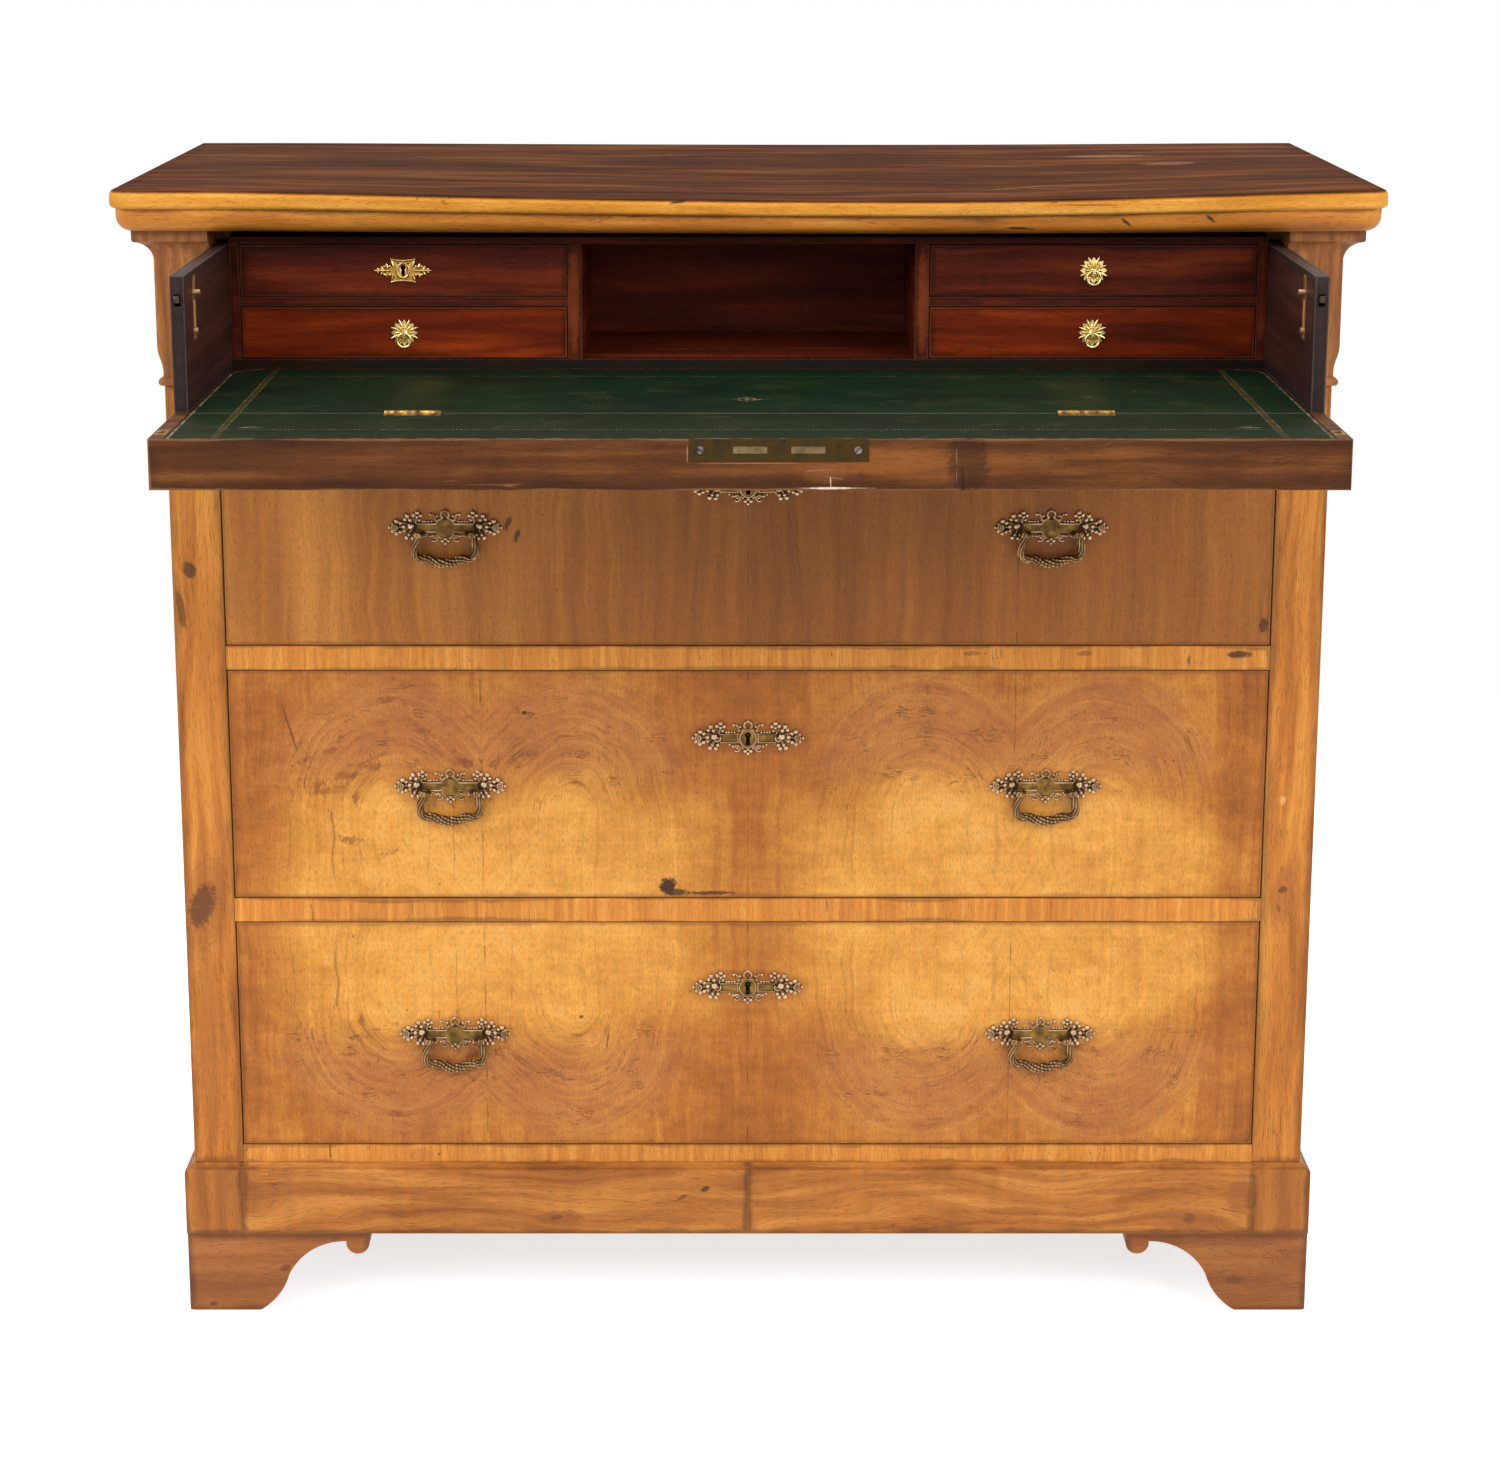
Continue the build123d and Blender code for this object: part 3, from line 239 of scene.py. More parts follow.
def woodSheet(name, looks):
    # Straight-grained wood: its lines follow each board's own length, its wear each board's own edges
    sheet = Sheet(name)
    along, across, depth, halves, edge = sheet.board()
    seed = sheet.own("seed", "Fac") * 900
    bend = sheet.field(2.0, along * 0.005, across * 0.014 + seed, depth * 0.014) - 0.5
    line = across + bend * looks["wander"]
    broad = sheet.field(3.0, along * 0.004, line * 0.03 + seed, depth * 0.03)
    streak = sheet.field(3.0, along * 0.006, line * looks["streaks"] + seed, depth * 0.09)
    fibre = sheet.field(3.0, along * 0.05, line * 1.1, depth * 1.1 + seed, roughness=0.6)
    pore = sheet.field(1.0, along * 0.11, line * 2.3 + seed, depth * 2.3).fade(0.6, 0.74)
    tone = streak * 0.6 + broad * 0.4
    colour = sheet.ramp(tone, (0.32, looks["dark"]), (0.5, looks["middle"]), (0.67, looks["light"]))
    if "edging" in looks:
        # Below its upper arris the board's edge is paler than its top
        edging = sheet.ramp(tone, *zip((0.32, 0.5, 0.67), looks["edging"]))
        colour = sheet.blend((halves[2] - depth).fade(0.8, 3.6), colour, edging)
    colour = sheet.shade(colour, fibre * 0.5 + 0.75)
    if "figure" in looks:
        ripple = sheet.field(2.0, along * 0.07, line * 0.012 + seed, depth * 0.012)
        colour = sheet.shade(colour, ripple * looks["figure"] + (1 - looks["figure"] / 2))
    colour = sheet.blend(pore * looks["pores"], colour, looks["pore"])
    spread = sheet.noise(sheet.object(), 14.0, 4.0, 0.6)
    # Darker towards each board's edges: grime, and painted shade as in corners and between parts
    grime = (edge + (spread - 0.5) * 16).fade(looks["grimeWidth"], 0.0)
    colour = sheet.blend(grime * looks["grimeShare"], colour, looks["grime"])
    rubbed = (edge + (spread - 0.5) * 5).fade(1.6, 0.2)
    colour = sheet.blend(rubbed * looks["wear"], colour, looks["worn"])
    cloud = sheet.noise(sheet.object(), 5.0, 3.0, 0.55)
    colour = sheet.shade(colour, cloud * 0.36 + 0.82)
    crack = sheet.field(2.0, along * 0.01, line * 0.12 + seed, depth * 0.1)
    thin = (crack - 0.5).abs().fade(0.0035, 0.0012)
    where = sheet.field(2.0, along * 0.013, across * 0.03 + seed, depth * 0.03).fade(0.56, 0.66)
    thin = thin * where * looks["cracks"]
    colour = sheet.blend(thin, colour, looks["pore"])
    # Marks: knots and stains, and on the nest's shaded wood painted light and shade
    for spot, markTint, share in looks.get("marks", ()):
        colour = sheet.blend(blot(sheet, spot, 0.5, False, looks["markDepth"]) * share, colour, markTint)
    # Patches lying on the top: marks, and a painted sheen
    for spot, markTint, share in looks.get("topMarks", ()):
        colour = sheet.blend(blot(sheet, spot, 0.8, True) * share, colour, markTint)
    drawn = {"Vector": sheet.object(), "Rotation": (0.3, 0.2, 0.7), "Scale": (4, 120, 120)}
    scratch = sheet.noise(sheet.node("ShaderNodeMapping", {}, drawn), 1.0, 1.0)
    scratch = (scratch - 0.5).abs().fade(0.004, 0.0) * spread.fade(0.55, 0.68)
    colour = sheet.blend(scratch * looks["scratches"], colour, looks["worn"])
    height = fibre * 0.5 - pore * 0.6 - thin * 2.0 + broad * 0.4
    rough = looks["roughness"] + fibre * 0.12 + grime * 0.12 + scratch * 0.1
    return sheet.finish({
        "Base Color": colour, "Roughness": rough,
        "Normal": sheet.bump(height, looks["bump"]),
        "Specular IOR Level": looks["gloss"],
    })


def wood(**changes):
    # A finish of wood: what differs from an even, polished walnut
    looks = {
        "dark": tint(166, 92, 32), "middle": tint(206, 126, 48), "light": tint(232, 156, 66),
        "pore": tint(70, 36, 16), "grime": tint(58, 32, 18), "worn": tint(222, 168, 108), "wander": 26.0,
        "streaks": 0.12, "pores": 0.5, "cracks": 0.6, "grimeWidth": 9.0, "grimeShare": 0.45, "wear": 0.1,
        "roughness": 0.4, "bump": 0.25, "gloss": 0.28, "scratches": 0.35, "markDepth": (30, 12),
    }
    looks.update(changes)
    return looks


knot = tint(48, 30, 22)
caseWalnut = woodSheet("case_walnut", wood(
    marks=(
        ((-494, 391, 13, 26, -18), knot, 0.9), ((-494, 391, 26, 58, -14), tint(150, 84, 40), 0.45),
        ((-494, 702, 7, 9, 30), knot, 0.75), ((-503, 666, 4, 22, 8), knot, 0.6),
        ((-492, 260, 16, 120, 0), tint(150, 84, 38), 0.4), ((484, 406, 5, 4, 20), knot, 0.9),
        ((481, 388, 2, 5, 10), knot, 0.7), ((484, 400, 12, 36, -6), tint(164, 94, 44), 0.5),
        ((481, 490, 3, 5, 0), tint(236, 190, 130), 0.6),
    ),
))
friezeWalnut = woodSheet("frieze_walnut", wood(
    dark=tint(122, 70, 32), middle=tint(162, 98, 46), light=tint(200, 134, 72), streaks=0.16,
    grimeShare=0.5,
))
topWalnut = woodSheet("top_walnut", wood(
    dark=tint(40, 18, 5), middle=tint(80, 40, 15), light=tint(124, 72, 32), streaks=0.07, wander=60.0,
    pore=tint(30, 15, 8), cracks=0.9, scratches=0.6, roughness=0.62, gloss=0.02, grimeWidth=22.0,
    grimeShare=0.15, worn=tint(214, 140, 66), wear=0.4,
    edging=(tint(196, 120, 42), tint(236, 160, 64), tint(250, 182, 88)),
    marks=(((-60, 1030.5, 8, 1.4, 4), knot, 0.8), ((290, 1028, 30, 1.2, 0), tint(150, 86, 34), 0.6)),
    topMarks=(
        # At the back right, the two pale pinkish patches are a painted sheen; the rest are marks
        ((0, 300, 190, 90, 4), tint(44, 22, 10), 0.5), ((345, 330, 46, 14, 0), tint(176, 128, 104), 0.45),
        ((395, 250, 30, 18, 12), tint(170, 122, 96), 0.35),
        ((240, 60, 40, 2.2, 24), tint(190, 150, 124), 0.4),
        ((262, 48, 22, 1.8, -14), tint(190, 150, 124), 0.4),
        ((-330, 150, 120, 40, 6), tint(128, 78, 40), 0.3),
    ),
))
mouldingWalnut = woodSheet("moulding_walnut", wood(
    dark=tint(156, 88, 28), middle=tint(204, 126, 42), light=tint(232, 158, 64), streaks=0.1,
    grimeWidth=4.0, pore=tint(60, 30, 14), cracks=0.9,
    marks=(
        ((232, 1007.5, 13, 1.5, -3), knot, 0.8), ((322, 1013, 7, 1.7, -38), knot, 0.85),
        ((394, 1016, 6, 1.7, -38), knot, 0.85), ((-300, 1006, 26, 1.2, 0), tint(120, 66, 24), 0.5),
    ),
))
railWalnut = woodSheet("rail_walnut", wood(
    dark=tint(198, 118, 44), middle=tint(218, 138, 54), light=tint(238, 162, 74), streaks=0.2, wander=8.0,
    grimeWidth=3.0, grimeShare=0.45, cracks=0.9,
    marks=(
        ((437, 625, 13, 4, 0), knot, 0.85), ((462, 652, 6, 9, 20), knot, 0.8),
        ((300, 626, 8, 3, 0), tint(130, 76, 40), 0.6), ((200, 626, 10, 2.5, 0), tint(130, 76, 40), 0.6),
        ((-302, 150, 12, 8, 0), tint(168, 98, 40), 0.45),
    ),
))
plinthWalnut = woodSheet("plinth_walnut", wood(
    dark=tint(144, 80, 30), middle=tint(190, 116, 48), light=tint(220, 146, 68), streaks=0.09, wander=70.0,
    figure=0.35, grimeWidth=6.0, grimeShare=0.6, wear=0.05,
    marks=(
        ((408, 91, 7, 6, 0), knot, 0.7), ((408, 91, 34, 11, -4), tint(160, 94, 46), 0.5),
        ((-39, 120, 5, 3, 30), knot, 0.8), ((-60, 112, 6, 2, 30), tint(90, 52, 30), 0.7),
        ((-174, 92, 26, 7, 0), tint(150, 84, 42), 0.6), ((-176, 92, 7, 3, 10), knot, 0.4),
        ((-330, 118, 60, 5, 3), tint(146, 82, 36), 0.45), ((-270, 108, 46, 4, -4), tint(150, 86, 38), 0.4),
        ((-110, 96, 60, 4, 3), tint(150, 86, 38), 0.4), ((40, 104, 50, 5, -3), tint(150, 86, 38), 0.45),
        ((160, 116, 60, 4, 3), tint(150, 86, 38), 0.4), ((250, 98, 40, 5, -2), tint(150, 86, 38), 0.45),
        ((350, 118, 50, 4, 2), tint(148, 84, 38), 0.45), ((455, 112, 16, 22, 0), tint(150, 84, 36), 0.4),
        ((-462, 112, 14, 24, 0), tint(150, 84, 36), 0.3),
    ),
))
cornerWalnut = woodSheet("corner_walnut", wood(
    dark=tint(150, 86, 34), middle=tint(174, 104, 43), light=tint(191, 120, 51), streaks=0.1, wander=20.0,
    grimeWidth=6.0, grimeShare=0.6, wear=0.05,
))
footWalnut = woodSheet("foot_walnut", wood(
    dark=tint(142, 82, 40), middle=tint(164, 98, 48), light=tint(181, 115, 59), grimeShare=0.6, wander=30.0,
    wear=0.05,
    marks=(
        ((-428, 42, 6, 4, 20), knot, 0.5), ((-496, 6, 4, 2, 0), knot, 0.6),
        ((452, 30, 10, 5, 0), knot, 0.3),
    ),
))
fallWalnut = woodSheet("fall_walnut", wood(
    dark=tint(60, 31, 13), middle=tint(94, 52, 24), light=tint(134, 80, 36), streaks=0.07, figure=0.3,
    gloss=0.12, pore=tint(40, 20, 12), grimeWidth=14.0, grimeShare=0.5, worn=tint(176, 122, 76), wear=0.35,
    roughness=0.45, markDepth=(-340, -342.5),
    marks=(
        ((168, 860, 19, 30, 6), tint(46, 24, 15), 0.6), ((164, 846, 1.6, 13, 4), tint(36, 18, 12), 0.6),
        ((158.8, 866, 0.4, 7, 1), tint(160, 134, 120), 0.5),
        ((159.0, 850, 0.35, 6, 2), tint(160, 134, 120), 0.45),
        ((106, 857, 40, 7, 0), tint(142, 80, 34), 0.4), ((60, 852, 21, 8, 3), tint(138, 82, 48), 0.35),
        ((62, 841.1, 20, 1.0, 0), tint(246, 224, 206), 0.9),
        ((66, 841.2, 34, 0.5, 0), tint(220, 180, 150), 0.6),
        ((62, 846, 0.6, 5, 2), tint(236, 208, 184), 0.6),
        ((52, 855, 11, 0.35, 4), tint(190, 146, 112), 0.5),
        ((66, 849, 10, 0.35, -8), tint(190, 146, 112), 0.5),
        ((-48.3, 868, 0.6, 8, 0), tint(186, 140, 98), 0.5),
        ((0, 860.6, 46, 0.5, 0), tint(186, 140, 98), 0.45),
    ),
))
liningPine = woodSheet("lining_pine", wood(
    dark=tint(136, 98, 62), middle=tint(168, 130, 88), light=tint(192, 158, 114), pore=tint(90, 62, 38),
    roughness=0.62, gloss=0.2, streaks=0.09, wander=40.0, grimeShare=0.5, grimeWidth=16.0, wear=0.1,
    grime=tint(74, 56, 40),
))
drawerOak = woodSheet("drawer_oak", wood(
    dark=tint(150, 112, 70), middle=tint(180, 142, 96), light=tint(200, 166, 118), pore=tint(100, 70, 42),
    roughness=0.55, gloss=0.2, streaks=0.16, pores=0.7, grimeShare=0.4, wear=0.1, grime=tint(84, 62, 42),
))
darkMahogany = woodSheet("dark_mahogany", wood(
    dark=tint(40, 20, 16), middle=tint(60, 32, 26), light=tint(82, 46, 38), pore=tint(22, 12, 10),
    grime=tint(20, 15, 15), grimeShare=0.8, grimeWidth=12.0, worn=tint(104, 86, 78), wear=0.4,
    roughness=0.42, cracks=0.3, scratches=0.6, gloss=0.25,
))
nestMahogany = woodSheet("nest_mahogany", wood(
    dark=tint(72, 20, 4), middle=tint(114, 36, 6), light=tint(156, 60, 14), pore=tint(40, 12, 4),
    grime=tint(26, 11, 8), grimeShare=0.65, grimeWidth=6.0, worn=tint(150, 78, 38), wear=0.35,
    roughness=0.4, gloss=0.1, streaks=0.08, cracks=0.3,
))
nestShaded = woodSheet("nest_shaded", wood(
    dark=tint(58, 19, 9), middle=tint(96, 34, 16), light=tint(132, 54, 26), pore=tint(32, 10, 6),
    grime=tint(22, 10, 8), grimeShare=0.65, grimeWidth=6.0, worn=tint(130, 66, 36), wear=0.35,
    roughness=0.4, gloss=0.1, streaks=0.08, cracks=0.3,
    marks=(
        # Painted light: the front edges of the two posts beside the pigeonhole, lighter than the shaded nest
        ((-152.5, 940, 6, 52, 0), tint(150, 74, 34), 0.4), ((152.5, 940, 6, 52, 0), tint(150, 74, 34), 0.4),
        # Painted shadow: a dark strip along the front edge of the nest's floor
        ((0, 884, 1200, 5.4, 0), tint(15, 20, 13), 0.9),
        # Painted shade: the dark depth of the keyhole behind the nest's keyhole plate
        ((-300.35, 966.0, 2.6, 5.6, 0), tint(8, 5, 4), 1.0),
    ),
))
print("woods mixed")


# The drawer fronts: four leaves of veneer, opened like a book

keyholeDrop = 61.8  # from a drawer front's top to the middle of its keyhole plate, in millimetres
veneer = {
    "seam": 239.0, "axis": 78.0, "mirrorLine": 386.6, "straight": 92.0, "plainAbove": 622.0,
    "tones": (
        (0.0, tint(136, 74, 24)), (0.3, tint(182, 106, 38)), (0.55, tint(212, 140, 54)),
        (0.75, tint(236, 164, 72)), (1.0, tint(246, 184, 98)),
    ),
    # Drawer 1's plainer veneer, its colours darkened as painted shade under the open fall
    "plainShadedTones": ((0.0, tint(112, 60, 20)), (0.5, tint(170, 102, 40)), (1.0, tint(222, 148, 66))),
    "line": tint(112, 60, 28), "pore": tint(74, 38, 18), "pink": tint(196, 126, 82),
    "smear": tint(126, 64, 32), "burnt": tint(70, 38, 20), "stain": tint(134, 66, 28),
    "mountGrimeAndShade": tint(120, 62, 22), "dark": tint(14, 9, 6), "grime": tint(84, 44, 18), "worn": tint(226, 160, 84),
    "bare": (tint(150, 108, 66), tint(188, 148, 98)), "tail": tint(206, 176, 126), "tailPitch": 34.0,
    # Half sizes of the darkening round each mount: grime and painted shade
    "handleHalo": (56.0, 18.0), "keyholeHalo": (56.0, 17.0), "mounts": [],
    # Marks of use: middle, half size and lean, then how strong
    "marks": (
        ((-72, 409, 9, 9, 20), 1.0), ((-64, 403, 12, 4, 0), 0.9), ((-34, 402.6, 25, 2.2, 0), 0.85),
        ((-212, 744, 3.0, 8, -24), 0.8), ((-204, 733, 2.6, 7, -18), 0.85), ((-230, 751, 3, 3, 0), 0.6),
        ((-200, 571, 2.4, 2.2, 0), 0.9), ((-410, 556, 1.3, 26, 16), 0.6), ((-378, 533, 26, 5, 14), 0.55),
        ((-400, 526, 5, 7, 10), 0.55), ((-352, 517, 30, 7, 14), 0.5), ((-330, 442, 26, 7, 18), 0.5),
        ((-350, 450, 24, 5, -12), 0.5), ((-390, 503, 12, 8, 24), 0.5), ((-300, 560, 22, 5, -30), 0.4),
        ((-262, 530, 18, 6, -58), 0.45), ((-232, 458, 16, 5, 20), 0.4), ((-370, 500, 20, 4, 10), 0.45),
        ((300, 262, 1.0, 14, 4), 0.5), ((-128, 262, 1.2, 10, -8), 0.6), ((458, 652, 5, 8, 0), 0.8),
        ((-152, 284, 2, 2, 0), 0.8), ((330, 530, 24, 5, -14), 0.3),
    ),
}
for number in (1, 2, 3):
    low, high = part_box(f"drawer_{number}_bail_right")
    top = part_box(f"drawer_{number}_front")[1].z / mm
    veneer["mounts"].append(((low.x + high.x) / 2 / mm, high.z / mm, *veneer["handleHalo"]))
    veneer["mounts"].append((0.0, top - keyholeDrop, *veneer["keyholeHalo"]))


def usedFront(sheet, colour, flecks, x, z):
    # Marks of use, then grime and painted shade round the mounts
    for spot, share in veneer["marks"]:
        # The stronger marks are burnt dark, the rest are brown smears that the grain shows through
        if share > 0.55:
            colour = sheet.blend(blot(sheet, spot, 0.7) * share, colour, veneer["burnt"])
        else:
            through = blot(sheet, spot, 1.0) * flecks.fade(0.4, 0.62) * (share + 0.15)
            colour = sheet.blend(through, colour, veneer["stain"])
    for mountX, mountZ, halfWidth, halfHeight in veneer["mounts"]:
        u = (x.abs() - mountX) / halfWidth
        v = (z - mountZ) / halfHeight
        colour = sheet.blend((u * u + v * v).fade(1.25, 0.5) * 0.3, colour, veneer["mountGrimeAndShade"])
        if mountX == 0.0:
            # A keyhole plate: the wood behind its keyhole is painted dark, a painted shade for the keyhole's
            # depth
            slot = (x.abs() - 1.4).fade(1.0, 0.6) * (z - mountZ + 1.2).abs().fade(6.2, 5.8)
            colour = sheet.blend(slot, colour, veneer["dark"])
    return colour


def frontEdges(sheet, colour, fibre, x, fromFront):
    # Grime and painted shade in the arrises, bare wood behind the veneer, and the pale dovetails of the sides
    # let into the ends
    _, across, _, _, edge = sheet.board()
    torn = sheet.noise(sheet.object(), 22.0, 3.0, 0.6)
    colour = sheet.blend((edge + (torn - 0.5) * 7).fade(4.5, 0.0) * 0.45, colour, veneer["grime"])
    colour = sheet.blend((edge + (torn - 0.5) * 3).fade(1.3, 0.2) * 0.3, colour, veneer["worn"])
    inner = fromFront.fade(2.2, 2.6)
    colour = sheet.blend(inner, colour, sheet.blend(fibre, *veneer["bare"]))
    tail = (across / veneer["tailPitch"]).part() - 0.5
    flare = tail.abs() * veneer["tailPitch"] + (fromFront - 8) * 0.16
    joint = flare.fade(9.8, 9.2) * fromFront.fade(7.6, 8.0) * x.abs().fade(463.2, 463.4)
    colour = sheet.blend(joint * 0.8, colour, veneer["tail"])
    return colour, inner, torn


def frontSheet():
    sheet = Sheet("front_walnut")
    x, y, z = sheet.split(sheet.object(), 1000)
    leaf = (x.abs() - veneer["seam"]).abs()
    height = (z - veneer["mirrorLine"]).abs()
    wobbleA = sheet.field(3.0, leaf * 0.013, height * 0.013, x * 0.0012) - 0.5
    wobbleB = sheet.field(3.0, leaf * 0.013, height * 0.013 + 40, x * 0.0012) - 0.5
    p = leaf - veneer["axis"] + wobbleA * 26
    q = (height - veneer["straight"] + wobbleB * 24).over(0.0) * 0.86
    radius = (p * p + q * q) ** 0.5
    body = z.fade(veneer["plainAbove"] - 2, veneer["plainAbove"] + 2)
    figured = 1 - body
    # Grain: rings about the four axes, upright lines beyond them, chevrons at the seams
    side = x * 0.004
    rings = sheet.field(5.0, radius * 0.2, p * 0.005 + side, q * 0.005, roughness=0.72)
    upright = sheet.field(5.0, x.abs() * 0.1 + wobbleA * 2, z * 0.0035, side, roughness=0.7)
    nearRings = radius.fade(132, 88)
    slant = height - leaf * 1.5 + wobbleB * 30
    chevrons = sheet.field(4.0, slant * 0.11, leaf * 0.008, side, roughness=0.7)
    nearSeam = leaf.fade(70, 22) * height.fade(118, 70)
    lines = (rings - 0.5) * nearRings * (1 - nearSeam)
    lines = lines + (upright - 0.5) * (1 - nearRings) + (chevrons - 0.5) * nearSeam
    # Tone: honey hearts, browner towards the middle and the ends
    acrossHeart = (leaf - 62 + wobbleA * 60) / 142
    downHeart = (height - 40 + wobbleB * 60) / 84
    heart = (acrossHeart * acrossHeart + downHeart * downHeart).fade(1.8, 0.2)
    blush = sheet.field(4.0, leaf * 0.011, height * 0.015, side, roughness=0.6)
    flecks = sheet.field(4.0, leaf * 0.05, height * 0.07, side + 9, roughness=0.65)
    lines = lines * (1 - heart * 0.45)
    tone = 0.37 + heart * 0.34 + (blush - 0.5) * 0.6 + (flecks - 0.5) * 0.44 + lines * 0.84
    hourglass = x.abs().fade(110, 30) * (0.5 + height.fade(40, 190) * 0.5)
    tone = tone - hourglass * (0.09 + (upright - 0.5) * 0.3) - x.abs().fade(392, 452) * 0.14
    tone = tone + radius.fade(60, 20) * height.fade(80, 100) * 0.1
    colour = sheet.ramp(tone, *veneer["tones"])
    # Drawer 1: plainer upright veneer, in the darker tones of the fall's painted shade
    plain = sheet.field(2.0, x * 0.016, z * 0.002, 3.0)
    plainShadedTone = 0.42 + (plain - 0.5) * 0.7 + (upright - 0.5) * 0.75
    # Painted light towards its left; darker in its middle, partly the veneer's own darker middle and partly
    # painted shade
    plainShadedTone = plainShadedTone + x.fade(-90, -330) * 0.2 - x.abs().fade(110, 20) * 0.1
    colour = sheet.blend(body, colour, sheet.ramp(plainShadedTone, *veneer["plainShadedTones"]))
    # Fine broken ring lines, pinkish between the arches, dark smears beside them
    arch = nearRings * height.fade(100, 150) * figured
    colour = sheet.blend(arch * 0.3, colour, veneer["pink"])
    fine = sheet.field(2.0, radius * 0.75, p * 0.03, q * 0.03 + side)
    broken = sheet.field(3.0, p * 0.03 + side, q * 0.03, 4.0).fade(0.44, 0.62)
    fine = fine.fade(0.55, 0.68) * broken * nearRings * height.fade(60, 100) * figured
    colour = sheet.blend(fine * 0.4, colour, veneer["line"])
    smear = sheet.field(5.0, radius * 0.09, p * 0.03 + x * 0.003, q * 0.04, roughness=0.7)
    onLeft = x.fade(-190, -250) * 0.6 + 0.4
    smear = smear.fade(0.57, 0.67) * radius.fade(18, 40) * radius.fade(118, 80)
    smear = smear * height.fade(20, 50) * figured
    colour = sheet.blend(smear * onLeft * 0.75, colour, veneer["smear"])
    curl = sheet.field(2.0, leaf * 0.02, z * 0.13, wobbleB * 4)
    colour = sheet.shade(colour, curl * 0.14 + 0.93)
    fibre = sheet.field(3.0, x * 1.5 + wobbleA * 20, z * 0.05, roughness=0.6)
    pore = sheet.field(1.0, x * 2.6 + wobbleB * 30, z * 0.16, 5.0).fade(0.6, 0.72)
    colour = sheet.shade(colour, fibre * 0.5 + 0.76)
    mottle = sheet.field(2.0, x * 0.8, z * 0.3, 8.0, roughness=0.6)
    colour = sheet.shade(colour, mottle * 0.36 + 0.83)
    short = sheet.field(1.0, x * 0.9, z * 0.24, 2.0).fade(0.6, 0.74)
    pore = pore.over(short * 0.7)
    colour = sheet.blend(pore * 0.42, colour, veneer["pore"])
    # Seams between the leaves, short cracks across the grain, pinholes
    seamGap = leaf.under(x.abs()) + (sheet.field(2.0, z * 0.03, 0.0) - 0.5) * 0.6
    openness = sheet.field(2.0, z * 0.05, x * 0.02).fade(0.42, 0.62) * 0.45 + 0.08
    seam = seamGap.fade(0.8, 0.2) * openness
    crackField = sheet.field(3.0, p * 0.06 + side * 4, q * 0.5 + wobbleA * 3, 1.0, roughness=0.6)
    crack = (crackField - 0.5).abs().fade(0.02, 0.005) * nearRings * height.fade(96, 120)
    crack = crack * sheet.field(3.0, x * 0.035, z * 0.05, 2.0).fade(0.57, 0.66) * figured
    ringCrack = sheet.field(2.0, radius * 0.12, p * 0.012, q * 0.012 + side)
    ringCrack = (ringCrack - 0.5).abs().fade(0.008, 0.002) * broken
    ringCrack = ringCrack * height.fade(100, 130) * nearRings * figured
    speck = sheet.cells(sheet.join(x, z), 0.03).fade(0.04, 0.018) * 0.6
    dark = seam.over(crack * 0.7).over(ringCrack * 0.5).over(speck)
    colour = sheet.blend(dark, colour, veneer["pore"])
    colour = usedFront(sheet, colour, flecks, x, z)
    colour, inner, torn = frontEdges(sheet, colour, fibre, x, y - frontPlane)
    bumps = fibre * 0.5 - pore * 0.5 - dark * 1.5 - fine * 0.3
    rough = 0.38 + fibre * 0.12 + (torn - 0.5) * 0.12 + inner * 0.25
    return sheet.finish({
        "Base Color": colour, "Roughness": rough, "Normal": sheet.bump(bumps, 0.2),
        "Specular IOR Level": 0.28,
    })


frontWalnut = frontSheet()


# Desk leather, green, with blind and gilt lines

leatherLooks = {
    "deep": tint(11, 24, 13), "green": tint(17, 37, 20), "olive": tint(48, 48, 20),
    "gilt": tint(140, 124, 84), "pale": tint(150, 140, 112), "band": tint(84, 66, 36), "bandX": 413.0,
    "backLine": -28.0, "frontLine": -300.0, "crease": -223.0, "board": tint(50, 28, 20), "corner": 24.0,
    "back": 9.0, "rim": 448.5,
}


def gilding(sheet, x, y, side, rub):
    # What is left of the double line down each side, the fine rows along back and front, and the sprigs
    looks = leatherLooks
    band = (side - looks["bandX"]).abs()
    fine = (band - 2.4).abs().fade(0.7, 0.25) * 0.5
    dash = ((x / 3.2).part() - 0.5).abs().fade(0.36, 0.28)
    between = side.fade(looks["bandX"], looks["bandX"] - 2)
    back = (y - looks["backLine"]).abs().fade(1.0, 0.4) * between
    front = (y - looks["frontLine"]).abs().fade(1.0, 0.4) * between
    inBounds = y.fade(looks["frontLine"] - 1, looks["frontLine"])
    inBounds = inBounds * y.fade(looks["backLine"] + 1, looks["backLine"])
    gold = (fine * inBounds).over(back * dash * 0.8).over(front * dash)
    # A small sprig in each corner and a longer one in the middle
    cornerX = side - (looks["bandX"] - 22)
    cornerY = y - (looks["frontLine"] + 9)
    sprig = (cornerX.abs() / 13 + cornerY.abs() / 4.5).fade(1.0, 0.7)
    sprig = sprig * (cornerX.abs() / 7 + cornerY.abs() / 2).fade(0.5, 0.8)
    middleX = x + 2
    middleY = y + 153
    cross = (middleX.abs() / 30 + middleY.abs() / 1.5).fade(1.0, 0.6)
    cross = cross.over((middleX.abs() / 2.6 + middleY.abs() / 19).fade(1.0, 0.7))
    petal = ((middleX * middleX + middleY * middleY * 0.6) ** 0.5 - 7).abs().fade(1.6, 0.8)
    petal = petal.over(((middleX.abs() - 10) * (middleX.abs() - 10) + middleY * middleY).fade(9, 4))
    cross = cross.over(petal * 0.8)
    return gold.over(sprig).over(cross * 0.8) * (0.25 + rub * 0.65), band


